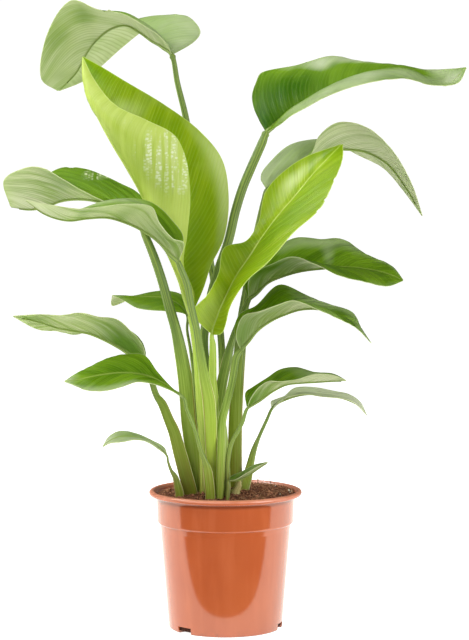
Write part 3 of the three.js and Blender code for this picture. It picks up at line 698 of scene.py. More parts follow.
def blade_values(rows, widths, along, across, leaf):
    """How far each corner is from the base, the midrib and the margin, its side vein and its tone."""
    middle = rows[:, rows.shape[1] // 2]
    length = np.concatenate([[0], np.cumsum(np.linalg.norm(np.diff(middle, axis=0), axis=1))])
    shares = np.concatenate([across[::-1], [0], across])
    sides = np.array([0] * (len(across) + 1) + [1] * len(across))
    rib = widths[:, sides] * shares
    rim = widths[:, sides] * (1 - shares)
    slants = np.array(leaf["slant"])[sides]
    vein = length[:, None] - slants * rib - leaf.get("bend", USUAL_VEIN_BEND) * rib ** 2
    calm = leaf.get("calm", TIP_CALM[0]) + np.array([0, CALM_LENGTH, CALM_LENGTH + LAST_LENGTH])
    reach = np.interp(along, [0, *calm], [0, *TIP_CALM, 1])
    reach = np.broadcast_to(reach[:, None], rib.shape)
    span = np.where(sides == 0, -shares, shares)
    # Tone: partly the leaf's own colour; above 0 it is partly painted sheen and highlights, below 0 partly
    # painted shade.
    tone = np.full(rib.shape, float(leaf.get("tone", 0.0)))
    for place, offset, long, wide, amount in leaf.get("patches", ()):
        tone += amount * np.exp(-((along[:, None] - place) / long) ** 2 - ((span - offset) / wide) ** 2)
    return dict(vein=vein, rib=rib, rim=rim, reach=reach, tone=tone), length


def pleats(vein, rib, rim, reach, waves):
    """Shallow folds along the side veins. A fold too narrow for the mesh to carry is left out."""
    step = np.maximum(np.abs(np.gradient(vein, axis=0)), np.abs(np.gradient(vein, axis=1)))
    height = 0
    for size, length, phase in waves:
        carried = 1 - step_between(step / length, *TOO_NARROW)
        height = height + size * np.sin(2 * np.pi * vein / length + phase) * carried
    height = height * step_between(rib, 0, PLEAT_FROM_RIB)
    height = height * (PLEAT_AT_RIM + (1 - PLEAT_AT_RIM) * step_between(rim, 0, PLEAT_FROM_RIM))
    return height * (1 - step_between(reach, *TIP_CALM))


print("blade:", round(BLADE_THICKNESS / MM, 2), "mm thick, calm from", TIP_CALM[0], "of its length")


# %% Blade builder
def add_blade(shape, leaf, rows_count, half_columns, waves, **whole):
    along = np.linspace(*BLADE_RUN, rows_count)
    across = (np.arange(1, half_columns + 1) / half_columns) ** COLUMN_CROWDING
    rows, widths = blade_surface(leaf, along, across)
    for side, share, size, depth in leaf.get("nicks", ()):
        cut = depth * np.exp(-((along - share) / size) ** 2)
        column = 0 if side == "left" else -1
        rows[:, column] += (rows[:, half_columns] - rows[:, column]) * cut[:, None]
    values, length = blade_values(rows, widths, along, across, leaf)
    for side, low, high in leaf.get("soft_margin", ()):
        half = slice(0, half_columns) if side == "left" else slice(half_columns + 1, None)
        values["rim"][:, half] += RIM_HIDDEN * (1 - step_between(along, low, high))[:, None]
    normals = surface_normals(rows)
    folds = pleats(values["vein"], values["rib"], values["rim"], values["reach"], waves)
    rows = rows + normals * folds[..., None]
    fade = (1 - along[:, None]) ** GROOVE_FADE
    groove = GROOVE_DEPTH * fade * np.exp(-(values["rib"] / GROOVE_WIDTH) ** 2)
    groove = groove * step_between(length[:, None], *GROOVE_STARTS)
    upper = rows + normals * (BLADE_THICKNESS / 2 - groove)[..., None]
    lower = rows - normals * (BLADE_THICKNESS / 2 + groove)[..., None]
    count, columns = rows.shape[:2]
    total = count * columns
    faces, edges = sheet_faces(count, columns)
    on_top = (count - 1) * (columns - 1)
    finishes = [UPPER] * on_top + [UNDER] * (len(faces) - on_top)
    sharp = [*edges, *((a + total, b + total) for a, b in edges)]
    both = {name: np.tile(value.ravel(), 2) for name, value in values.items()}
    shape.add(np.concatenate([upper.reshape(-1, 3), lower.reshape(-1, 3)]), faces, finishes,
              sharp, **both, **whole)


print("a blade's finishes: upper", UPPER, "under", UNDER, "stalk", STALK)

# %% [markdown]
# ## A stalk
# A stalk is a flattened rod. It swells into a sheath near the soil, and at the top it doesn't stop
# at the blade: it runs on as the keel below the midrib, thinner and thinner, almost to the tip.
# So one rod is bent along both curves, and its section turns from facing the front to lying
# along the blade. Where the rod is flat it is a sheath, so there its section turns into a lens
# with two thin edges, and those edges curl round the stalks behind it.

# %% Stalk path
STALK_SIDES = 28
KEEL_END, KEEL_POINT = 0.95, 0.97         # where the keel stops, and where it would be a point
KEEL_THINNEST = (1.1 * MM, 0.9 * MM)      # width and thickness that are always there
KEEL_TAPER, KEEL_SWELL = (0.42, 0.46), (0.36, 0.3)      # shares of the stalk's head, likewise
SWELL_LENGTH, SINK_LENGTH = 45 * MM, 30 * MM
KEEL_RISE = {True: 0.25 * MM, False: -0.35 * MM}        # over the blade's middle: young, grown
SECTION_TURNS = (-12 * MM, 26 * MM)       # from lying along the blade to facing the front
PROBE_STEPS, PROBE_SHARE = 200, 0.15


def stalk_path(leaf, keel_steps, stalk_steps):
    """The rod from the keel's end to the foot: its centre, width, thickness, two cross directions
    and how far each ring is below the blade's base."""
    stations = leaf["stalk"]
    along = np.linspace(0, KEEL_END, keel_steps + 1)[1:][::-1]
    probe = np.linspace(0, 1, PROBE_STEPS)
    rows, _ = blade_surface(leaf, probe, np.array([PROBE_SHARE]))
    normals = surface_normals(rows)[:, 1]
    spread = unit(rows[:, 2] - rows[:, 0])
    length = np.linalg.norm(np.diff(rows[:, 1], axis=0), axis=1).sum()

    def pick(table):
        return np.stack([np.interp(along, probe, table[:, k]) for k in range(3)], 1)

    taper = (1 - along / KEEL_POINT) ** 0.8
    quick = 1 - step_between(along * length, 0, SWELL_LENGTH)
    width, thickness = (thinnest + (by_taper * taper + by_swell * quick) * (head * MM)
                        for thinnest, by_taper, by_swell, head
                        in zip(KEEL_THINNEST, KEEL_TAPER, KEEL_SWELL, stations[0][3:]))
    sink = step_between(along * length, 0, SINK_LENGTH) * (thickness / 2 - KEEL_RISE[leaf["young"]])
    keel = pick(rows[:, 1]) - pick(normals) * sink[:, None]
    shares = np.linspace(0, 1, stalk_steps + 1)
    stem = smooth_curve(on_sight(stations), shares, before=on_sight([leaf["midrib"][0]])[0])
    stop = shares * (len(stations) - 1)
    stem_width, stem_thickness = (
        np.interp(stop, np.arange(len(stations)), [s[k] for s in stations]) * MM for k in (3, 4))
    centre = np.concatenate([keel, stem])
    down = unit(np.gradient(centre, axis=0))
    facing = unit(np.cross([0, 1, 0], -down))
    lying = np.concatenate([pick(spread), np.repeat(spread[:1], len(stem), 0)])
    if (facing[keel_steps] * lying[keel_steps]).sum() < 0:
        lying = -lying
    stem_length = np.linalg.norm(np.diff(stem, axis=0), axis=1).sum()
    run = np.concatenate([-along * length, np.linspace(0, 1, len(stem)) * stem_length])
    turned_share = step_between(run, *SECTION_TURNS)[:, None]
    side = facing * turned_share + lying * (1 - turned_share)
    side = unit(side - down * (side * down).sum(1, keepdims=True))
    return (centre, np.concatenate([width, stem_width]), np.concatenate([thickness, stem_thickness]),
            side, np.cross(side, -down), run)


print("stalk:", STALK_SIDES, "corners round")

# %% Stalk builder
KNUCKLE_AT, KNUCKLE_LENGTH, KNUCKLE_DEPTH = 6 * MM, 4 * MM, 0.6
SHEATH_FLATNESS = (1.36, 1.7)             # width over thickness, where a rod becomes a sheath
SHEATH_BELOW = 0.05                       # metres below the blade's base
SHEATH_CURL, CURL_LEVEL = 0.2, 0.4
ROD_FULLNESS, EDGE_THINNING = 0.86, 0.8
KEEL_REACH = 14                           # the keel's finish fades in along 1 / 14 metre


def add_stalk(shape, leaf, keel_steps, stalk_steps, **whole):
    centre, width, thickness, side, rear, run = stalk_path(leaf, keel_steps, stalk_steps)
    knuckle = leaf.get("knuckle", 0.0) * MM * np.exp(-((run - KNUCKLE_AT) / KNUCKLE_LENGTH) ** 2)
    width, thickness = width + knuckle, thickness + KNUCKLE_DEPTH * knuckle
    angle = np.linspace(0, 2 * np.pi, STALK_SIDES, endpoint=False)
    sideways, behind = np.cos(angle), np.sin(angle)
    lens = step_between(width / thickness, *SHEATH_FLATNESS)[:, None] * (run > SHEATH_BELOW)[:, None]
    shoulder = ROD_FULLNESS + (1 - ROD_FULLNESS) * np.abs(sideways)      # fuller than an ellipse
    out = sideways / (shoulder + (1 - shoulder) * lens)
    thin = np.sign(behind) * np.abs(behind) ** (1 + EDGE_THINNING * lens)
    curl = SHEATH_CURL * lens * (sideways ** 2 - CURL_LEVEL) * width[:, None]
    rings = (centre[:, None] + side[:, None] * (width[:, None] / 2 * out)[..., None]
             + rear[:, None] * (thickness[:, None] / 2 * thin + curl)[..., None])
    count = len(centre)
    shape.add(rings.reshape(-1, 3), tube_faces(count, STALK_SIDES, flip=True), STALK,
              along=rings[..., 2].ravel(), sideways=np.tile(sideways, count),
              front=np.tile(-behind, count), rib=np.repeat(width, STALK_SIDES),
              rim=np.repeat(lens, STALK_SIDES), tone=leaf.get("stalk_tone_and_painted_light", 0.0),
              reach=np.repeat(np.clip(-run * KEEL_REACH, 0, 1), STALK_SIDES), **whole)


print("a rod is a sheath from", SHEATH_FLATNESS[0], "times as wide as thick")

# %% [markdown]
# ## Building materials in code
# Every finish here is made from nodes, with no image. A few short helpers keep that readable: one
# wires a socket, one places a node, one does a sum on values that may be numbers or sockets, and
# one paints a colour over another where its masks say so. A plain number goes onto the node's own
# socket. Colours are written as on a screen, from 0 to 255, and turned into the linear values that
# nodes use.


# %% Node helpers
def tint(red, green, blue):
    """A screen colour as linear red, green, blue and alpha."""
    linear = [((c / 255 + 0.055) / 1.055) ** 2.4 if c > 10 else c / 255 / 12.92
              for c in (red, green, blue)]
    return (*linear, 1.0)


def wire(tree, socket, value):
    """Links what comes from a node, and sets anything else on the socket itself."""
    if isinstance(value, bpy.types.NodeSocket):
        tree.links.new(value, socket)
    else:
        socket.default_value = value


def node(tree, kind, inputs=None, **settings):
    made = tree.nodes.new(kind)
    for key, value in settings.items():
        setattr(made, key, value)
    for key, value in (inputs or {}).items():
        wire(tree, made.inputs[key], value)
    return made


def maths(tree, operation, *values):
    return node(tree, "ShaderNodeMath", dict(enumerate(values)), operation=operation).outputs[0]


def times(tree, first, *others):
    for value in others:
        first = maths(tree, "MULTIPLY", first, value)
    return first


def between(tree, value, low, high, to_low=0.0, to_high=1.0):
    """A smooth step: to_low where the value is at low, to_high where it is at high."""
    made = node(tree, "ShaderNodeMapRange", {"Value": value, "From Min": low, "From Max": high,
                                             "To Min": to_low, "To Max": to_high},
                interpolation_type="SMOOTHSTEP")
    return made.outputs["Result"]


def blend(tree, share, first, second):
    """Two colours mixed by a share from 0 to 1."""
    return node(tree, "ShaderNodeMix", {0: share, 6: first, 7: second}, data_type="RGBA").outputs[2]


def paint(tree, colour, over, *masks):
    """Lays a second colour over the first, by the product of the masks."""
    return blend(tree, times(tree, *masks), colour, over)


def stored(tree, name):
    return node(tree, "ShaderNodeAttribute", attribute_name=name).outputs["Fac"]


def object_place(tree):
    return node(tree, "ShaderNodeTexCoord").outputs["Object"]


def vector(tree, x, y, z):
    return node(tree, "ShaderNodeCombineXYZ", {"X": x, "Y": y, "Z": z}).outputs[0]


def stretched(tree, place, factors):
    """A place scaled on each axis, so that a pattern is drawn out along one of them."""
    return node(tree, "ShaderNodeVectorMath", {0: place, 1: factors}, operation="MULTIPLY").outputs[0]


def noise(tree, place, scale, detail=2.0, roughness=0.5):
    made = node(tree, "ShaderNodeTexNoise", {"Vector": place, "Scale": scale, "Detail": detail,
                                             "Roughness": roughness})
    return made.outputs["Fac"]


def bump(tree, height, strength, distance):
    return node(tree, "ShaderNodeBump", {"Height": height, "Strength": strength,
                                         "Distance": distance}).outputs[0]


def surface(tree, kind, inputs):
    """Places a shader and makes it the material's surface."""
    shader = node(tree, kind, inputs)
    node(tree, "ShaderNodeOutputMaterial", {"Surface": shader.outputs[0]})


def finish_material(name):
    made = bpy.data.materials.new(name)
    made.use_nodes = True
    made.node_tree.nodes.clear()
    return made, made.node_tree


print("terracotta in linear light:", [round(c, 3) for c in tint(200, 113, 79)])


# %% Group helpers
def group(name, inputs, outputs):
    """An empty node group with named inputs (name: default, or None for a vector) and outputs."""
    tree = bpy.data.node_groups.new(name, "ShaderNodeTree")
    for key, default in inputs.items():
        kind = "NodeSocketVector" if default is None else "NodeSocketFloat"
        socket = tree.interface.new_socket(key, in_out="INPUT", socket_type=kind)
        if default is not None:
            socket.default_value = default
    for key in outputs:
        tree.interface.new_socket(key, in_out="OUTPUT", socket_type="NodeSocketFloat")
    return tree, node(tree, "NodeGroupInput").outputs, node(tree, "NodeGroupOutput").inputs


def place_group(tree, which, inputs):
    return node(tree, "ShaderNodeGroup", inputs, node_tree=which).outputs


print("groups so far:", len(bpy.data.node_groups))

# %% [markdown]
# ## Effects that several finishes share
# Four effects come back on many surfaces, so each is a node group that puts out masks only.
# - **side_veins**: fine streaks and soft bands that follow the slanted side veins of a blade.
# - **soft_mottle**: slow patches, for uneven growth, dust and wax.
# - **edge_line**: a thin line at a given distance, for pale margins and the midrib.
# - **water_spots**: columns of small round marks inside one patch, as dried drops leave them.

# %% Shared effect groups
STREAK_STRETCH, BAND_STRETCH = (640.0, 30.0, 1.0), (74.0, 16.0, 1.0)    # across and along a vein
VEIN_SPACING, VEIN_WOBBLE, VEIN_THINNESS = 0.0052, 0.006, 8.0
DROP_STRETCH, COLUMN_STRETCH = (210.0, 110.0, 300.0), (130.0, 0.0, 9.0)
DROP_FILM = 0.2                                                         # haze between the drops


def make_side_veins():
    tree, given, out = group("side_veins", {"Vein": 0.0, "Rib": 0.0, "Reach": 0.0, "Offset": 0.0},
                             ("Fine", "Bands", "Lines"))
    shifted = maths(tree, "ADD", given["Vein"], given["Offset"])
    place = vector(tree, shifted, given["Rib"], given["Offset"])
    fine = noise(tree, stretched(tree, place, STREAK_STRETCH), 1.0, 2.0, 0.6)
    bands = noise(tree, stretched(tree, place, BAND_STRETCH), 1.0, 3.0, 0.6)
    wavy = maths(tree, "ADD", shifted, times(tree, bands, VEIN_WOBBLE))
    wave = maths(tree, "ABSOLUTE", maths(tree, "SINE", times(tree, wavy, math.pi / VEIN_SPACING)))
    line = maths(tree, "POWER", wave, VEIN_THINNESS)
    before_tip = between(tree, given["Reach"], TIP_CALM[1], TIP_CALM[0])
    wire(tree, out["Fine"], times(tree, between(tree, fine, 0.32, 0.68), before_tip))
    wire(tree, out["Bands"], between(tree, bands, 0.36, 0.62))
    wire(tree, out["Lines"], times(tree, line, before_tip))
    return tree


def make_soft_mottle():
    tree, given, out = group("soft_mottle", {"Place": None, "Scale": 20.0, "Detail": 3.0}, ("Mask",))
    patches = noise(tree, given["Place"], given["Scale"], given["Detail"])
    wire(tree, out["Mask"], between(tree, patches, 0.32, 0.68))
    return tree


def make_edge_line():
    tree, given, out = group("edge_line", {"Distance": 0.0, "Width": 0.001, "Softness": 0.0005},
                             ("Mask",))
    start = maths(tree, "SUBTRACT", given["Distance"], given["Width"])
    mask = maths(tree, "SUBTRACT", 1.0, maths(tree, "DIVIDE", start, given["Softness"]))
    wire(tree, out["Mask"], node(tree, "ShaderNodeClamp", {"Value": mask}).outputs[0])
    return tree


def make_water_spots():
    tree, given, out = group("water_spots", {"Place": None, "Centre": None, "Radius": 0.02}, ("Mask",))
    place = given["Place"]
    cells = node(tree, "ShaderNodeTexVoronoi", {"Vector": stretched(tree, place, DROP_STRETCH),
                                                "Scale": 1.0, "Randomness": 0.7})
    apart = node(tree, "ShaderNodeVectorMath", {0: place, 1: given["Centre"]}, operation="DISTANCE")
    away = maths(tree, "DIVIDE", apart.outputs["Value"], given["Radius"])
    inside = between(tree, maths(tree, "SUBTRACT", 1.0, away), 0.0, 0.45)
    columns = between(tree, noise(tree, stretched(tree, place, COLUMN_STRETCH), 1.0, 1.0), 0.4, 0.56)
    dots = between(tree, cells.outputs["Distance"], 0.56, 0.34)
    some = between(tree, noise(tree, place, 90.0, 1.0), 0.32, 0.46)
    marks = maths(tree, "MAXIMUM", times(tree, dots, some, columns), times(tree, columns, DROP_FILM))
    wire(tree, out["Mask"], times(tree, marks, inside))
    return tree


SIDE_VEINS, SOFT_MOTTLE = make_side_veins(), make_soft_mottle()
EDGE_LINE, WATER_SPOTS = make_edge_line(), make_water_spots()
print("effect groups:", [tree.name for tree in (SIDE_VEINS, SOFT_MOTTLE, EDGE_LINE, WATER_SPOTS)])

# %% [markdown]
# ## Leaf finish
# A leaf is a thin wet sheet under a waxy skin. Light is partly mirrored by the wax, partly thrown
# back green, and partly let through, which is why a blade glows yellow-green where it is lit from
# behind. The material mixes a Principled shader with a Translucent one for that.
# The upper face is darker and glossier, the lower face paler and matt, and both show the side veins.

# %% Leaf material
RIB_LINE, RIM_LINE = (0.0009, 0.0011), (0.0004, 0.0006)      # metres: full width, then soft edge
STREAK_SHARE, WARM_SHARE, RIB_SHARE, MARK_SHARE = 0.22, 0.35, 0.75, 0.9
TONE_MOTTLE, DUST_ROUGHNESS = 0.2, 0.14
STREAK_RELIEF, LINE_RELIEF = 0.5, 0.6
DRIED_MARK = tint(250, 252, 214)


def leaf_surface(tree, colour, glow, roughness, height, through, coat, mirror):
    """Principled and Translucent shaders, mixed, with one bump."""
    relief = bump(tree, height, 0.5, 0.0006)
    solid = node(tree, "ShaderNodeBsdfPrincipled", {
        "Base Color": colour, "Roughness": roughness, "Normal": relief, "Coat Weight": coat,
        "Coat Roughness": 0.22, "Specular IOR Level": mirror})
    thin = node(tree, "ShaderNodeBsdfTranslucent", {"Color": glow, "Normal": relief})
    surface(tree, "ShaderNodeMixShader", {0: through, 1: solid.outputs[0], 2: thin.outputs[0]})


def edge_mask(tree, distance, line):
    made = place_group(tree, EDGE_LINE, {"Distance": stored(tree, distance), "Width": line[0],
                                         "Softness": line[1]})
    return made["Mask"]


def blade_material(name, dark, light, warm, vein, rib_colour, rim_colour, pale_and_sheen, deep_and_shade, glow, rough, coat,
                   mirror, through, band_share, line_share, rim_share, spots=()):
    made, tree = finish_material(name)
    veins = place_group(tree, SIDE_VEINS, {"Vein": stored(tree, "vein"), "Rib": stored(tree, "rib"),
                                           "Reach": stored(tree, "reach"),
                                           "Offset": stored(tree, "shade")})
    place = object_place(tree)
    patches = place_group(tree, SOFT_MOTTLE, {"Place": place, "Scale": 16.0, "Detail": 3.0})["Mask"]
    bold = stored(tree, "bold")
    bands = times(tree, maths(tree, "SUBTRACT", veins["Bands"], 0.5), bold)
    bands = maths(tree, "ADD", bands, 0.5)
    lines = times(tree, veins["Lines"], bold)
    share = maths(tree, "ADD", times(tree, bands, band_share), times(tree, veins["Fine"], STREAK_SHARE))
    uneven = times(tree, maths(tree, "SUBTRACT", patches, 0.5), TONE_MOTTLE)
    tone = maths(tree, "ADD", stored(tree, "tone"), uneven)
    colour = blend(tree, share, dark, light)
    colour = paint(tree, colour, warm, patches, WARM_SHARE)
    # The pale colour is partly a painted sheen and highlight, the deep one partly painted shade.
    colour = paint(tree, colour, pale_and_sheen, tone)
    colour = paint(tree, colour, deep_and_shade, tone, -1.0)
    colour = paint(tree, colour, vein, lines, line_share)
    colour = paint(tree, colour, rib_colour, edge_mask(tree, "rib", RIB_LINE), RIB_SHARE)
    colour = paint(tree, colour, rim_colour, edge_mask(tree, "rim", RIM_LINE), rim_share)
    for centre, radius in spots:
        marks = place_group(tree, WATER_SPOTS, {"Place": place, "Centre": centre, "Radius": radius})
        colour = paint(tree, colour, DRIED_MARK, marks["Mask"], MARK_SHARE)
    dusty = times(tree, veins["Bands"], patches)
    roughness = maths(tree, "ADD", rough, times(tree, dusty, DUST_ROUGHNESS))
    height = maths(tree, "SUBTRACT", times(tree, veins["Fine"], STREAK_RELIEF),
                   times(tree, lines, LINE_RELIEF))
    leaf_surface(tree, colour, glow, roughness, height, through, coat, mirror)
    return made


print("pale midrib line:", round(RIB_LINE[0] / MM, 2), "mm to each side")

# %% The four blade finishes
DROPS_ON_GROWN = [((-0.163, 0.09, 0.555), 0.024)]            # centre and radius of each patch
DROPS_ON_YOUNG = [((-0.060, -0.058, 0.578), 0.044), ((-0.081, -0.05, 0.593), 0.034),
                  ((-0.115, -0.03, 0.622), 0.022)]
# In each blade finish, pale is also the colour of painted sheen and highlights, and deep of painted shade.
GROWN_UPPER = blade_material(
    "leaf_grown_upper", dark=tint(60, 98, 2), light=tint(118, 152, 34), warm=tint(112, 148, 10),
    vein=tint(158, 184, 84), rib_colour=tint(150, 172, 80), rim_colour=tint(204, 212, 160),
    pale_and_sheen=tint(228, 230, 206), deep_and_shade=tint(36, 84, 0), glow=tint(146, 184, 0), rough=0.36, coat=0.02,
    mirror=0.07, through=0.3, band_share=0.7, line_share=0.2, rim_share=0.6, spots=DROPS_ON_GROWN)
GROWN_UNDER = blade_material(
    "leaf_grown_under", dark=tint(138, 166, 76), light=tint(210, 216, 168), warm=tint(180, 200, 104),
    vein=tint(96, 122, 48), rib_colour=tint(132, 152, 78), rim_colour=tint(214, 218, 172),
    pale_and_sheen=tint(228, 228, 200), deep_and_shade=tint(86, 128, 16), glow=tint(192, 216, 70), rough=0.46, coat=0.0,
    mirror=0.24, through=0.35, band_share=1.0, line_share=0.6, rim_share=0.75)
YOUNG_UPPER = blade_material(
    "leaf_young_upper", dark=tint(126, 156, 0), light=tint(180, 196, 42), warm=tint(164, 184, 14),
    vein=tint(190, 210, 84), rib_colour=tint(204, 216, 110), rim_colour=tint(214, 224, 130),
    pale_and_sheen=tint(222, 230, 160), deep_and_shade=tint(92, 138, 0), glow=tint(196, 222, 0), rough=0.30, coat=0.04,
    mirror=0.22, through=0.4, band_share=0.5, line_share=0.3, rim_share=0.8)
YOUNG_UNDER = blade_material(
    "leaf_young_under", dark=tint(162, 184, 50), light=tint(206, 218, 108), warm=tint(190, 208, 74),
    vein=tint(200, 222, 120), rib_colour=tint(206, 222, 120), rim_colour=tint(222, 234, 150),
    pale_and_sheen=tint(214, 224, 122), deep_and_shade=tint(140, 172, 24), glow=tint(190, 222, 20), rough=0.42, coat=0.04,
    mirror=0.36, through=0.4, band_share=0.6, line_share=0.3, rim_share=0.7, spots=DROPS_ON_YOUNG)
print("blade finishes:", [m.name for m in (GROWN_UPPER, GROWN_UNDER, YOUNG_UPPER, YOUNG_UNDER)])

# %% [markdown]
# ## Stalk finish
# A stalk is grey-green above and turns yellow-green where it widens into a sheath. Fine lines run
# along it, its thin side edges are pale, and near the soil the old sheaths stain reddish brown.
# The pale line along both sides is partly a painted highlight, and on a round rod it is only that.
# A stalk's tone is partly painted light too: deeper, towards olive, it paints shade on the sheath.
# All of that follows the rod, so the finish reads the height and the place round the section.

# %% Stalk material
ROUND_STRETCH, HEIGHT_STRETCH, LEAF_OFFSET = 5.0, 7.0, 40.0
YELLOW_FROM, YELLOW_TO = 0.46, 0.24                          # heights in metres
STAIN_FROM, STAIN_TO = 0.26, 0.165
MARGIN_FROM, MARGIN_TO = 0.44, 0.3                           # a sheath's brown lines
MARGIN_SHARE, KEEL_SHARE = 0.75, 0.8
# Shares of the pale side line, which is partly a painted highlight.
HIGHLIGHT_ON_ROD, EDGE_AND_HIGHLIGHT_ON_SHEATH = 0.08, 0.67


def stalk_material(name, top, low, line, edge, stain, keel, bright, olive_and_shade, stain_share, rough=0.36):
    made, tree = finish_material(name)
    along, sideways, front, sheath = (stored(tree, key) for key in ("along", "sideways", "front", "rim"))
    offset = times(tree, stored(tree, "shade"), LEAF_OFFSET)
    round_place = vector(tree, maths(tree, "ADD", times(tree, sideways, ROUND_STRETCH), offset),
                         times(tree, front, ROUND_STRETCH), times(tree, along, HEIGHT_STRETCH))
    streaks = noise(tree, round_place, 1.0, 3.0, 0.6)
    fine = noise(tree, round_place, 5.0, 2.0, 0.5)
    uneven_height = maths(tree, "ADD", along, times(tree, streaks, 0.08))
    lower = times(tree, between(tree, uneven_height, YELLOW_FROM, YELLOW_TO),
                  between(tree, stored(tree, "rib"), 0.005, 0.012, 0.15, 1.0))
    tone = times(tree, stored(tree, "tone"), lower)
    from_middle = maths(tree, "ABSOLUTE", sideways)
    beside_edge = times(tree, between(tree, from_middle, 0.78, 0.86),
                        between(tree, from_middle, 0.95, 0.9))
    brown = times(tree, beside_edge, between(tree, streaks, 0.46, 0.58))
    brown = times(tree, brown, times(tree, sheath, between(tree, along, MARGIN_FROM, MARGIN_TO)))
    edge_and_highlight_share = maths(tree, "ADD", HIGHLIGHT_ON_ROD, times(tree, sheath, EDGE_AND_HIGHLIGHT_ON_SHEATH))
    colour = blend(tree, lower, top, low)
    colour = paint(tree, colour, line, between(tree, streaks, 0.45, 0.6), 0.7)
    colour = paint(tree, colour, line, between(tree, fine, 0.5, 0.7), 0.3)
    # Painted light in the stalk's tone: the olive colour, where the tone is below 0, is partly painted
    # shade.
    colour = paint(tree, colour, bright, tone)
    colour = paint(tree, colour, olive_and_shade, tone, -1.0)
    colour = paint(tree, colour, stain, between(tree, along, STAIN_FROM, STAIN_TO),
                   between(tree, fine, 0.44, 0.6), stain_share)
    colour = paint(tree, colour, stain, brown, MARGIN_SHARE)
    # The pale line at both sides: partly a sheath's pale margin, and partly a painted highlight.
    colour = paint(tree, colour, edge, between(tree, from_middle, 0.91, 0.975), edge_and_highlight_share)
    colour = paint(tree, colour, keel, between(tree, stored(tree, "reach"), 0.1, 0.9), KEEL_SHARE)
    surface(tree, "ShaderNodeBsdfPrincipled", {
        "Base Color": colour, "Roughness": maths(tree, "ADD", rough, times(tree, streaks, 0.1)),
        "Normal": bump(tree, fine, 0.25, 0.0006), "Specular IOR Level": 0.3,
        "Coat Weight": 0.06, "Coat Roughness": 0.25})
    return made


STALK_GROWN = stalk_material(
    "stalk_grown", top=tint(86, 110, 54), low=tint(116, 148, 26), line=tint(154, 176, 74),
    edge=tint(222, 226, 160), stain=tint(134, 74, 40), keel=tint(126, 148, 66),
    bright=tint(172, 196, 46), olive_and_shade=tint(104, 114, 10), stain_share=0.5)
STALK_YOUNG = stalk_material(
    "stalk_young", top=tint(150, 180, 60), low=tint(152, 178, 56), line=tint(186, 202, 100),
    edge=tint(228, 224, 176), stain=tint(140, 84, 50), keel=tint(204, 218, 110),
    bright=tint(190, 212, 74), olive_and_shade=tint(128, 120, 40), stain_share=0.6)
SHEATH_DRY = stalk_material(
    "sheath_dry", top=tint(170, 180, 100), low=tint(168, 176, 104), line=tint(206, 200, 138),
    edge=tint(220, 212, 160), stain=tint(140, 92, 60), keel=tint(190, 196, 120),
    bright=tint(220, 216, 160), olive_and_shade=tint(128, 120, 60), stain_share=0.8, rough=0.5)
print("stalk finishes:", [m.name for m in (STALK_GROWN, STALK_YOUNG, SHEATH_DRY)])

# %% [markdown]
# ## The sixteen leaves
# Each leaf is one grown piece, so it is one mesh here too: blade, keel and stalk. Large leaves get
# more rows. The pleats come from a seeded draw, so that every run gives the same plant.

# %% Build the leaves
ROW_STEP, FEWEST_ROWS, MOST_ROWS = 1.7 * MM, 40, 170
LONG_BLADE, LONG_COLUMNS, SHORT_COLUMNS = 0.15, 30, 18
STALK_ROWS = 110
PLEAT_HEIGHT = {True: 0.45, False: 0.95}                     # millimetres: young, grown
PLEAT_WAVES = ((0.46, 24 * MM), (0.32, 15 * MM), (0.22, 9.5 * MM))      # share of height, length
FULL_WAVES_FROM = 0.2                                        # a shorter blade has shorter pleats
random = np.random.default_rng(23)


def leaf_waves(size, scale):
    return [(size * share, length * scale, random.uniform(0, 2 * np.pi)) for share, length in PLEAT_WAVES]


for leaf_name, leaf in LEAVES.items():
    young = leaf["young"]
    spine = on_sight([leaf["stalk"][0], *leaf["midrib"], leaf["tip"]])
    blade_length = np.linalg.norm(np.diff(spine, axis=0), axis=1).sum()
    rows_count = int(np.clip(blade_length / ROW_STEP, FEWEST_ROWS, MOST_ROWS))
    half_columns = LONG_COLUMNS if blade_length > LONG_BLADE else SHORT_COLUMNS
    whole = dict(shade=random.uniform(0, 1), bold=leaf.get("bold", 1.0))
    pleat_height = PLEAT_HEIGHT[young] * leaf.get("pleat", 1.0) * MM
    waves = leaf_waves(pleat_height, min(1, blade_length / FULL_WAVES_FROM))
    shape = Shape(LEAF_VALUES)
    add_blade(shape, leaf, rows_count, half_columns, waves, **whole)
    add_stalk(shape, leaf, max(30, rows_count // 2), STALK_ROWS, **whole)
    finishes = (YOUNG_UPPER, YOUNG_UNDER, STALK_YOUNG) if young else (GROWN_UPPER, GROWN_UNDER, STALK_GROWN)
    piece = shape.build(leaf_name + "_grown", finishes)
    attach(piece, "root")
    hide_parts(leaf_name)
    print(leaf_name, "blade", round(blade_length, 3), "m,", len(piece.data.polygons), "faces")

# %% [markdown]
# ## The old dry sheath
# One withered sheath stands in the soil in front of the right stalks: a thin gutter, torn at the top.
# It is the same kind of sheet as a blade, so it is laid out row by row in the same way.

# %% Build the old sheath
SHEATH_STATIONS = [(18, 186, -30, 2.5), (16.5, 181, -30, 6), (15.5, 176, -30, 9), (13, 171, -30, 11),
                   (11, 163, -30, 13), (9, 140, -30, 13)]
SHEATH_ROWS, SHEATH_COLUMNS = 40, 17
SHEATH_HALF_THICKNESS = 0.4 * MM
GUTTER_DEPTH, RAGGED_TOP = 0.34, 1.5 * MM
TEAR, TEAR_WAVES, TEAR_FROM = 0.12, 37, 0.7


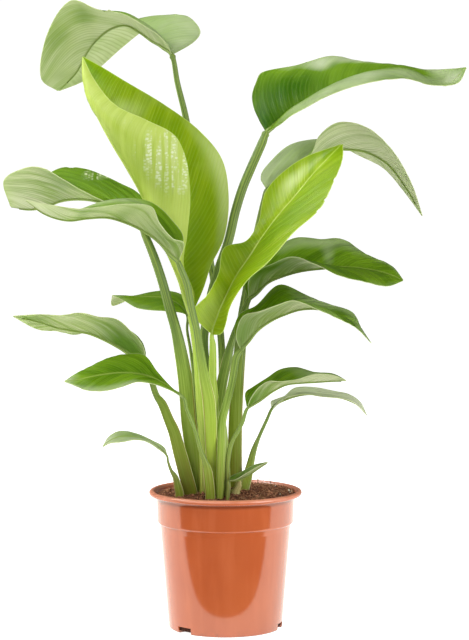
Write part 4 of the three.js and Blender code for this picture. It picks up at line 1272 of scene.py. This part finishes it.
def build_old_sheath():
    shares = np.linspace(0, 1, SHEATH_ROWS)
    stop = shares * (len(SHEATH_STATIONS) - 1)
    width = np.interp(stop, np.arange(len(SHEATH_STATIONS)), [s[3] for s in SHEATH_STATIONS]) * MM
    span = np.linspace(-1, 1, SHEATH_COLUMNS)
    torn = 1 + TEAR * np.sin(shares * TEAR_WAVES)[:, None] * np.sign(span) * (np.abs(span) > TEAR_FROM)
    rows = np.repeat(smooth_curve(on_sight(SHEATH_STATIONS), shares)[:, None], SHEATH_COLUMNS, 1)
    rows[..., 0] += width[:, None] / 2 * span * torn
    rows[..., 1] += GUTTER_DEPTH * width[:, None] * (span ** 2 - 0.5)
    rows[..., 2] += RAGGED_TOP * np.sin(span * 7 + 1) * (1 - shares[:, None]) ** 6
    offset = surface_normals(rows) * SHEATH_HALF_THICKNESS
    both = np.concatenate([(rows + offset).reshape(-1, 3), (rows - offset).reshape(-1, 3)])
    shape = Shape(LEAF_VALUES)
    shape.add(both, sheet_faces(SHEATH_ROWS, SHEATH_COLUMNS)[0], 0, along=both[:, 2],
              sideways=np.tile(span, 2 * SHEATH_ROWS), front=1.0, shade=0.4)
    return shape.build("old_sheath", [SHEATH_DRY], crease=50)


old_sheath = build_old_sheath()
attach(old_sheath, "root")
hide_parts("sheath_old")
print("old sheath:", len(old_sheath.data.polygons), "faces")

# %% [markdown]
# ## The pot
# A nursery pot is blown or injected in one go, so it is one skin of nearly even thickness: rolled
# lip, collar, a step where pots nest, and a tapering wall. A profile turned about the axis is the
# natural way to make it. The three drain notches are then cut out at the foot with a boolean.

# %% Pot shape
POT_OUTSIDE = [
    (0, 0), (68.8, 0), (70.1, 0.4), (70.8, 1.2), (71.0, 2.4), (80.9, 124.0), (81.05, 125.0), (81.25, 125.6),
    (81.5, 130.0), (81.8, 130.9), (82.6, 131.3), (83.5, 131.6), (84.3, 132.2), (84.8, 133.1), (85.0, 134.4),
    (85.9, 161.6), (86.2, 163.6), (86.9, 165.1), (88.1, 165.9), (92.8, 166.1), (94.3, 166.6), (95.0, 167.5),
    (95.2, 169.0), (94.9, 170.5), (94.1, 171.7), (92.9, 172.3), (91.6, 172.5), (90.3, 172.2), (89.2, 171.2),
]
POT_INSIDE = [(88.6, 169.9), (87.4, 167.2), (84.3, 163.6), (83.0, 134.2), (79.3, 131.8), (68.8, 2.5),
              (0, 2.5)]
POT_SEGMENTS = 180
FOOT_RADIUS = 70.8 * MM
DRAIN_ANGLES = (-135.5, -15.5, 104.5)
DRAIN_WIDTH, DRAIN_HEIGHT, DRAIN_REACH = 22 * MM, 8.5 * MM, 19 * MM
CUT_BEYOND, CUT_CORNER = 10 * MM, 1.6 * MM


def turned(profile, segments):
    """A closed skin turned about the axis, from a profile that starts and ends on it."""
    radii, heights = np.array(profile[1:-1], float).T * MM
    angle = np.linspace(0, 2 * np.pi, segments, endpoint=False)
    rings = np.stack([radii[:, None] * np.cos(angle), radii[:, None] * np.sin(angle),
                      np.repeat(heights[:, None], segments, 1)], 2)
    return rings.reshape(-1, 3), tube_faces(len(radii), segments)


def cut_notches(target):
    """Takes a box out of the foot at each drain angle, with round inner corners."""
    for number, angle in enumerate(DRAIN_ANGLES):
        bpy.ops.mesh.primitive_cube_add(size=1)
        cutter = bpy.context.object
        cutter.scale = (DRAIN_REACH + CUT_BEYOND, DRAIN_WIDTH, DRAIN_HEIGHT * 2)
        turn = math.radians(angle)
        reach = FOOT_RADIUS - DRAIN_REACH + (DRAIN_REACH + CUT_BEYOND) / 2
        cutter.location = (reach * math.cos(turn), reach * math.sin(turn), 0)
        cutter.rotation_euler = (0, 0, turn)
        rounded = cutter.modifiers.new("round", "BEVEL")
        rounded.width, rounded.segments = CUT_CORNER, 3
        cut = target.modifiers.new(f"notch_{number}", "BOOLEAN")
        cut.operation, cut.solver, cut.object = "DIFFERENCE", "EXACT", cutter
        bpy.context.view_layer.update()
        result = target.evaluated_get(bpy.context.evaluated_depsgraph_get())
        cut_mesh = bpy.data.meshes.new_from_object(result)
        target.modifiers.clear()
        target.data = cut_mesh
        bpy.data.objects.remove(cutter)


print("pot profile:", len(POT_OUTSIDE) + len(POT_INSIDE), "points")

# %% [markdown]
# ## The pot's finish
# Moulded plastic is nearly even in colour, with slow flow marks. The lip is chafed paler and less
# glossy where hands and other pots rub it, a dark line of painted shade lies under it, and a little
# soil clings to the foot, where a thin dark line at the bottom is painted contact shadow. Each mark
# has a height on the pot, so the masks read the height.

# %% Pot finish and build
CHAFED_FROM, CHAFED_TO = 0.1675, 0.1705                      # heights in metres
# Painted shade under the lip, and a painted contact shadow along the foot's bottom line.
UNDER_LIP_UP, UNDER_LIP_DOWN = (0.159, 0.163), (0.1672, 0.166)
SOILED_FROM, FOOT_SHADOW_LINE = 0.012, (0.0020, 0.0008)
PLASTIC_DARK, PLASTIC_LIGHT, PLASTIC_FLOW = tint(168, 78, 35), tint(180, 92, 46), tint(196, 106, 62)
PLASTIC_CHAFED, UNDER_LIP_SHADE, SOIL_STAIN_AND_SHADOW = tint(216, 140, 108), tint(90, 34, 10), tint(120, 66, 40)
FLOW_STRETCH = (60.0, 60.0, 9.0)
POT_CREASE = 34                                              # degrees


def pot_material():
    made, tree = finish_material("pot_terracotta_plastic")
    place = object_place(tree)
    height = node(tree, "ShaderNodeSeparateXYZ", {0: place}).outputs["Z"]
    broad = place_group(tree, SOFT_MOTTLE, {"Place": place, "Scale": 9.0, "Detail": 2.0})["Mask"]
    flow = noise(tree, stretched(tree, place, FLOW_STRETCH), 1.0, 3.0)
    chafed = times(tree, between(tree, height, CHAFED_FROM, CHAFED_TO),
                   between(tree, noise(tree, place, 90.0, 3.0), 0.2, 0.7, 0.55, 1.0))
    colour = paint(tree, PLASTIC_DARK, PLASTIC_LIGHT, broad, 0.5)
    colour = paint(tree, colour, PLASTIC_FLOW, between(tree, flow, 0.4, 0.7), 0.25)
    colour = paint(tree, colour, PLASTIC_CHAFED, chafed, 0.8)
    # Painted shade: a dark line under the rolled lip.
    colour = paint(tree, colour, UNDER_LIP_SHADE, between(tree, height, *UNDER_LIP_UP),
                   between(tree, height, *UNDER_LIP_DOWN), 0.6)
    colour = paint(tree, colour, SOIL_STAIN_AND_SHADOW, between(tree, height, SOILED_FROM, 0.0),
                   between(tree, noise(tree, place, 120.0, 4.0), 0.5, 0.7), 0.4)
    # Painted contact shadow: a thin dark line along the bottom of the foot.
    colour = paint(tree, colour, SOIL_STAIN_AND_SHADOW, between(tree, height, *FOOT_SHADOW_LINE), 0.55)
    surface(tree, "ShaderNodeBsdfPrincipled", {
        "Base Color": colour, "Roughness": maths(tree, "ADD", 0.15, times(tree, chafed, 0.35)),
        "Normal": bump(tree, noise(tree, place, 900.0, 2.0), 0.05, 0.0002),
        "IOR": 1.5, "Specular IOR Level": 0.8, "Coat Roughness": 0.08,
        "Coat Weight": maths(tree, "SUBTRACT", 0.7, times(tree, chafed, 0.6))})
    return made


pot_shape = Shape()
pot_shape.add(*turned([*POT_OUTSIDE, *POT_INSIDE], POT_SEGMENTS), 0)
pot = pot_shape.build("nursery_pot", [pot_material()])
cut_notches(pot)
pot.data.polygons.foreach_set("use_smooth", [True] * len(pot.data.polygons))
pot.data.set_sharp_from_angle(angle=math.radians(POT_CREASE))
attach(pot, "root")
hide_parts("pot")
print("pot:", len(pot.data.polygons), "faces, notches:", len(DRAIN_ANGLES))

# %% [markdown]
# ## The soil
# Potting peat is coarse: crumbs of every size, short fibres, a few pale bits. A bump map alone
# would look like felt, so there are three layers. One plug fills the pot, with an uneven top.
# Crumbs are scattered over it as small rough stones, and fibres lie and stand between them.

# %% Soil shapes
SOIL_EDGE, SOIL_MOUND, SOIL_BUMP = 168.5, 5.0, 1.1           # millimetres, as in the solid
SOIL_RADIUS = 86.0
SOIL_TILT = 1.4                                              # millimetres, higher on the right
SOIL_HOLLOW = (-12.0, -58.0, 5.0)                            # x, y and depth, before the stalks
HOLLOW_WIDE, HOLLOW_DEEP = 46, 26
PLUG_SIDE = [(68.4, 2.8), (78.9, 132.1), (82.6, 134.5), (83.9, 163.6)]
PLUG_RINGS, PLUG_SEGMENTS, PLUG_MIDDLE = 60, 150, 1.2
CRUMB_STRETCH, CRUMB_DENT, DENT_SPREAD = (0.55, 1.3), 0.16, 2.2
FIBRE_STEPS, FIBRE_SIDES = 7, 4
FIBRE_BEND, FIBRE_TAPER, FIBRE_WAVE = 0.35, 0.6, 0.0006


def soil_height(x, y):
    """Height of the soil in metres at a place in metres, before the crumbs."""
    x, y = np.asarray(x) / MM, np.asarray(y) / MM
    share = np.clip(np.hypot(x, y) / SOIL_RADIUS, 0, 1)
    waves = np.sin(x / 7 + 1) * np.cos(y / 6) + np.sin(x / 15 - y / 11)
    fine = (0.5 * np.sin(x / 2.3 + y / 3.1) * np.sin(y / 2.1 - x / 4.7)
            + 0.3 * np.sin(x / 1.1) * np.cos(y / 1.3))
    near_x, near_y = (x - SOIL_HOLLOW[0]) / HOLLOW_WIDE, (y - SOIL_HOLLOW[1]) / HOLLOW_DEEP
    hollow = SOIL_HOLLOW[2] * np.exp(-near_x ** 2 - near_y ** 2)
    rough = (SOIL_BUMP * waves + fine) * np.minimum(1, 4 * (1 - share))
    mound = SOIL_EDGE + SOIL_MOUND * (1 - share ** 2) + SOIL_TILT * x / SOIL_RADIUS
    return (mound - hollow + rough) * MM


def soil_plug(shape, finish):
    angle = np.linspace(0, 2 * np.pi, PLUG_SEGMENTS, endpoint=False)
    rings = [(radius * MM, np.full(PLUG_SEGMENTS, height * MM)) for radius, height in PLUG_SIDE]
    for radius in np.linspace(SOIL_RADIUS, PLUG_MIDDLE, PLUG_RINGS) * MM:
        rings.append((radius, soil_height(radius * np.cos(angle), radius * np.sin(angle))))
    points = [np.stack([r * np.cos(angle), r * np.sin(angle), z], 1) for r, z in rings]
    shape.add(np.concatenate(points), tube_faces(len(rings), PLUG_SEGMENTS), finish)


def ball(subdivisions):
    bpy.ops.mesh.primitive_ico_sphere_add(subdivisions=subdivisions, radius=1)
    made = bpy.context.object
    points = np.array([v.co for v in made.data.vertices])
    faces = [tuple(p.vertices) for p in made.data.polygons]
    bpy.data.objects.remove(made)
    return points, faces


def add_crumb(shape, finish, place, size, points, faces):
    """One rough lump: a ball, stretched and dented by a few seeded waves."""
    stretch = random.uniform(*CRUMB_STRETCH, 3)
    waves = random.normal(0, DENT_SPREAD, (3, 3))
    dents = sum(np.sin(points @ wave + phase) for wave, phase in zip(waves, random.uniform(0, 6, 3)))
    lump = points * (1 + CRUMB_DENT * dents)[:, None] * stretch
    a, b = random.uniform(0, 2 * np.pi, 2)
    turn = np.array([[math.cos(a), -math.sin(a), 0], [math.sin(a), math.cos(a), 0], [0, 0, 1]])
    tip_over = np.array([[1, 0, 0], [0, math.cos(b), -math.sin(b)], [0, math.sin(b), math.cos(b)]])
    shape.add(lump @ turn.T @ tip_over.T * size + place, faces, finish)


def add_fibre(shape, finish, start, heading, length, thickness, lift):
    """A thin bent strand from a start point."""
    share = np.linspace(0, 1, FIBRE_STEPS)
    bend = random.normal(0, FIBRE_BEND, 2)
    x = start[0] + np.cos(heading + bend[0] * share) * length * share
    y = start[1] + np.sin(heading + bend[0] * share) * length * share
    wave = FIBRE_WAVE * np.sin(share * 5 + bend[1])
    z = start[2] + lift * length * share * (1 - 0.5 * share) + wave
    centre = np.stack([x, y, z], 1)
    forward = unit(np.gradient(centre, axis=0))
    side = unit(np.cross(forward, [0.1, 0.2, 1]))
    up = np.cross(side, forward)
    angle = np.linspace(0, 2 * np.pi, FIBRE_SIDES, endpoint=False)
    radius = thickness / 2 * (1 - FIBRE_TAPER * share)
    rings = centre[:, None] + radius[:, None, None] * (side[:, None] * np.cos(angle)[None, :, None]
                                                       + up[:, None] * np.sin(angle)[None, :, None])
    shape.add(rings.reshape(-1, 3), tube_faces(FIBRE_STEPS, FIBRE_SIDES), finish)


print("soil in the middle of the pot:", round(float(soil_height(0, 0)), 4), "m high")

# %% [markdown]
# ## The soil's finish
# Peat is brown, with paler crumbs and fibres where it is dry. Low down, where it shows in the
# drain notches, it is made nearly black with painted shade. One function makes all four finishes,
# because only their two colours and the size of their grain differ.

# %% Soil finishes and plug
NOTCH_SHADE_FROM, NOTCH_SHADE_TO = 0.03, 0.012                             # metres, behind the drain notches
NOTCH_SHADE, PALE_FLECK = tint(50, 22, 12), tint(176, 132, 96)


def soil_material(name, dark, light, scale):
    made, tree = finish_material(name)
    place = object_place(tree)
    clods = noise(tree, place, scale, 5.0, 0.65)
    flecks = noise(tree, place, scale * 4, 2.0)
    height = node(tree, "ShaderNodeSeparateXYZ", {0: place}).outputs["Z"]
    colour = blend(tree, between(tree, clods, 0.35, 0.65), dark, light)
    colour = paint(tree, colour, PALE_FLECK, between(tree, flecks, 0.6, 0.75), 0.6)
    # Painted shade: the soil is nearly black low down, where it shows in the drain notches.
    colour = paint(tree, colour, NOTCH_SHADE, between(tree, height, NOTCH_SHADE_FROM, NOTCH_SHADE_TO), 0.85)
    surface(tree, "ShaderNodeBsdfPrincipled", {
        "Base Color": colour, "Normal": bump(tree, clods, 0.9, 0.002), "Roughness": 0.95,
        "Specular IOR Level": 0.2})
    return made


SOIL_FINISHES = [soil_material("peat_dark", tint(58, 32, 22), tint(132, 84, 60), 260.0),
                 soil_material("peat_crumb", tint(92, 54, 38), tint(190, 134, 100), 380.0),
                 soil_material("peat_fibre", tint(136, 92, 62), tint(206, 160, 122), 500.0),
                 soil_material("pale_bit", tint(196, 180, 150), tint(232, 224, 204), 500.0)]
PEAT, CRUMB, FIBRE, PALE_BIT = range(4)
soil_shape = Shape()
soil_plug(soil_shape, PEAT)
soil_bed = soil_shape.build("soil_bed", SOIL_FINISHES[:1], crease=60)
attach(soil_bed, "root")
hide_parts("soil")
print("soil bed:", len(soil_bed.data.polygons), "faces")

# %% Crumbs and fibres
CRUMB_COUNT, FIBRE_COUNT = 900, 420
CRUMB_SIZES, CRUMB_CHANCES = [0.8, 1.1, 1.6, 2.4], [0.4, 0.33, 0.2, 0.07]
PALE_FROM, STANDING_BELOW = 0.993, 0.06                      # chances, as draws from 0 to 1
FIBRE_LIMIT = 0.0835                                         # metres from the axis
LYING_LIFT, STANDING_LIFT, TALL_LIFT = 0.08, 0.8, 4.0
TALL_THICKNESS = 1.1 * MM
STANDING_FIBRES = [(40, 58, 0.4, 6), (42, 56, 2.6, 5), (46, 50, 1.2, 4), (58, 44, 2.9, 5)]


def scattered_place(margin):
    """A random x and y on the soil, in metres, at least the margin in millimetres from its edge."""
    radius = (SOIL_RADIUS - margin) * MM * math.sqrt(random.uniform(0, 1))
    turn = random.uniform(0, 2 * np.pi)
    return radius * math.cos(turn), radius * math.sin(turn)


crumb_shape = Shape()
small_ball, large_ball = ball(1), ball(2)
for _ in range(CRUMB_COUNT):
    x, y = scattered_place(2.5)
    size = random.choice(CRUMB_SIZES, p=CRUMB_CHANCES) * MM
    centre = np.array([x, y, float(soil_height(x, y)) + size * 0.35])
    finish = CRUMB if random.uniform() < PALE_FROM else PALE_BIT
    add_crumb(crumb_shape, finish, centre, size, *(large_ball if size > 2 * MM else small_ball))
for _ in range(FIBRE_COUNT):
    x, y = scattered_place(8)
    standing = random.uniform() < STANDING_BELOW
    length = random.uniform(4, 11) * MM * (0.7 if standing else 1)
    heading = random.uniform(0, 2 * np.pi)
    if np.hypot(x + length * math.cos(heading), y + length * math.sin(heading)) > FIBRE_LIMIT:
        heading += np.pi
    start = (x, y, float(soil_height(x, y)) + 0.8 * MM)
    add_fibre(crumb_shape, FIBRE, start, heading, length, random.uniform(0.35, 0.8) * MM,
              STANDING_LIFT if standing else LYING_LIFT)
for across, back, heading, length in STANDING_FIBRES:
    x, y = across * MM, back * MM
    add_fibre(crumb_shape, FIBRE, (x, y, float(soil_height(x, y))), heading, length * MM,
              TALL_THICKNESS, TALL_LIFT)
crumbs = crumb_shape.build("soil_crumbs", SOIL_FINISHES)
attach(crumbs, "root")
print("crumbs and fibres:", len(crumbs.data.polygons), "faces")

# %% [markdown]
# ## The studio
# The plant is shown on white, under wide soft light from the left, with a weaker light on the right
# and one overhead. The glossy pot mirrors the table in front of it, so two cards lie just above the
# floor that only mirror rays see: a bright one under the pot and a dark one in front, with a
# straight edge between them. That edge draws the deep orange tongue on the pot's front.

# %% Floor and cards
FLOOR_GLOW, FLOOR_SEEN = 0.5, 0.8         # light that the floor gives off, and gives to the camera
CARD_EDGE, CARD_HEIGHT = -0.125, 0.0004
CARD_BRIGHT, CARD_DARK = 1.45, 0.04


def flat_sheet(name, across, back, height, material):
    """A level rectangle, from its two ends in x and its two ends in y."""
    (left, right), (near, far) = across, back
    shape = Shape()
    shape.add([(left, near, height), (right, near, height), (right, far, height), (left, far, height)],
              [(0, 1, 2, 3)], 0)
    made = shape.build(name, [material])
    return made


def blend_value(tree, share, first, second):
    """Two numbers mixed by a share from 0 to 1."""
    made = node(tree, "ShaderNodeMix", {0: share, 2: first, 3: second}, data_type="FLOAT")
    return made.outputs[0]


def glow_material(name, colour, strength):
    made, tree = finish_material(name)
    surface(tree, "ShaderNodeEmission", {"Color": colour, "Strength": strength})
    return made


def floor_material():
    made, tree = finish_material("white_floor")
    paper = noise(tree, object_place(tree), 30.0, 3.0)
    seen = node(tree, "ShaderNodeLightPath").outputs["Is Camera Ray"]
    surface(tree, "ShaderNodeBsdfPrincipled", {
        "Base Color": blend(tree, paper, tint(240, 240, 240), tint(246, 246, 246)), "Roughness": 0.6,
        "Emission Color": (1, 1, 1, 1),
        "Emission Strength": blend_value(tree, seen, FLOOR_GLOW, FLOOR_SEEN)})
    return made


floor = flat_sheet("floor", (-6, 6), (-4, 12), 0.0, floor_material())
bright_card = flat_sheet("bright_card", (-1.2, 1.2), (CARD_EDGE, 1.0), CARD_HEIGHT,
                         glow_material("card_bright", (1, 0.96, 0.89, 1), CARD_BRIGHT))
dark_card = flat_sheet("dark_card", (-1.5, 1.5), (-3.0, CARD_EDGE), CARD_HEIGHT,
                       glow_material("card_dark", (1, 1, 1, 1), CARD_DARK))
for card in (bright_card, dark_card):
    card.visible_camera = card.visible_diffuse = card.visible_shadow = False
    card.visible_transmission = card.visible_volume_scatter = False
print("stage:", floor.name, bright_card.name, dark_card.name)

# %% World and lights
WORLD_LIGHT, WORLD_MIRRORED, WORLD_SEEN = 0.34, 0.16, 1.05


def build_world():
    world = bpy.data.worlds.new("white_studio")
    bpy.context.scene.world = world
    world.use_nodes = True
    tree = world.node_tree
    tree.nodes.clear()
    path = node(tree, "ShaderNodeLightPath").outputs
    strength = blend_value(tree, path["Is Glossy Ray"], WORLD_LIGHT, WORLD_MIRRORED)
    strength = blend_value(tree, path["Is Camera Ray"], strength, WORLD_SEEN)
    glow = node(tree, "ShaderNodeBackground", {"Color": (1, 1, 1, 1), "Strength": strength})
    node(tree, "ShaderNodeOutputWorld", {"Surface": glow.outputs[0]})


def soft_box(name, place, target, size, power):
    """A square light of a size in metres and a power in watts, turned to a target."""
    light = bpy.data.lights.new(name, "AREA")
    light.shape, light.size, light.energy = "SQUARE", size, power
    made = bpy.data.objects.new(name, light)
    bpy.context.scene.collection.objects.link(made)
    made.location = place
    made.rotation_euler = (Vector(target) - Vector(place)).to_track_quat("-Z", "Y").to_euler()
    return made


build_world()
soft_box("key_left", (-1.6, -0.1, 1.9), (0, 0, 0.5), 1.0, 54)
soft_box("fill_right", (1.6, -1.0, 0.6), (0, 0, 0.15), 1.0, 23)
soft_box("front_left", (-1.2, -1.9, 1.3), (0, 0, 0.4), 1.1, 13)
top_box = soft_box("top", (-0.3, 0.6, 2.2), (0, 0, 0.4), 1.0, 18)
top_box.visible_glossy = False            # it only fills, so that steep blades keep their green
print("lights:", [light.name for light in bpy.data.lights])

# %% [markdown]
# ## The camera
# The camera stands at the eye of the drawing board, and looks down by the same angle. A long lens
# from nearly three metres away keeps the pot's rims flat, as in a product photograph.

# %% Camera
LENS, SENSOR = 127.3, 36.0                # millimetres
camera_data = bpy.data.cameras.new("front")
camera_data.lens, camera_data.sensor_width = LENS, SENSOR
camera = bpy.data.objects.new("front", camera_data)
camera.location = (EYE_ACROSS * MM, -EYE_DISTANCE * MM, EYE_UP * MM)
camera.rotation_euler = (math.radians(90) - EYE_TILT, 0, 0)
bpy.context.scene.collection.objects.link(camera)
bpy.context.scene.camera = camera
bpy.context.scene.view_settings.view_transform = "Standard"
print("camera at", [round(c, 3) for c in camera.location], "lens", camera_data.lens)
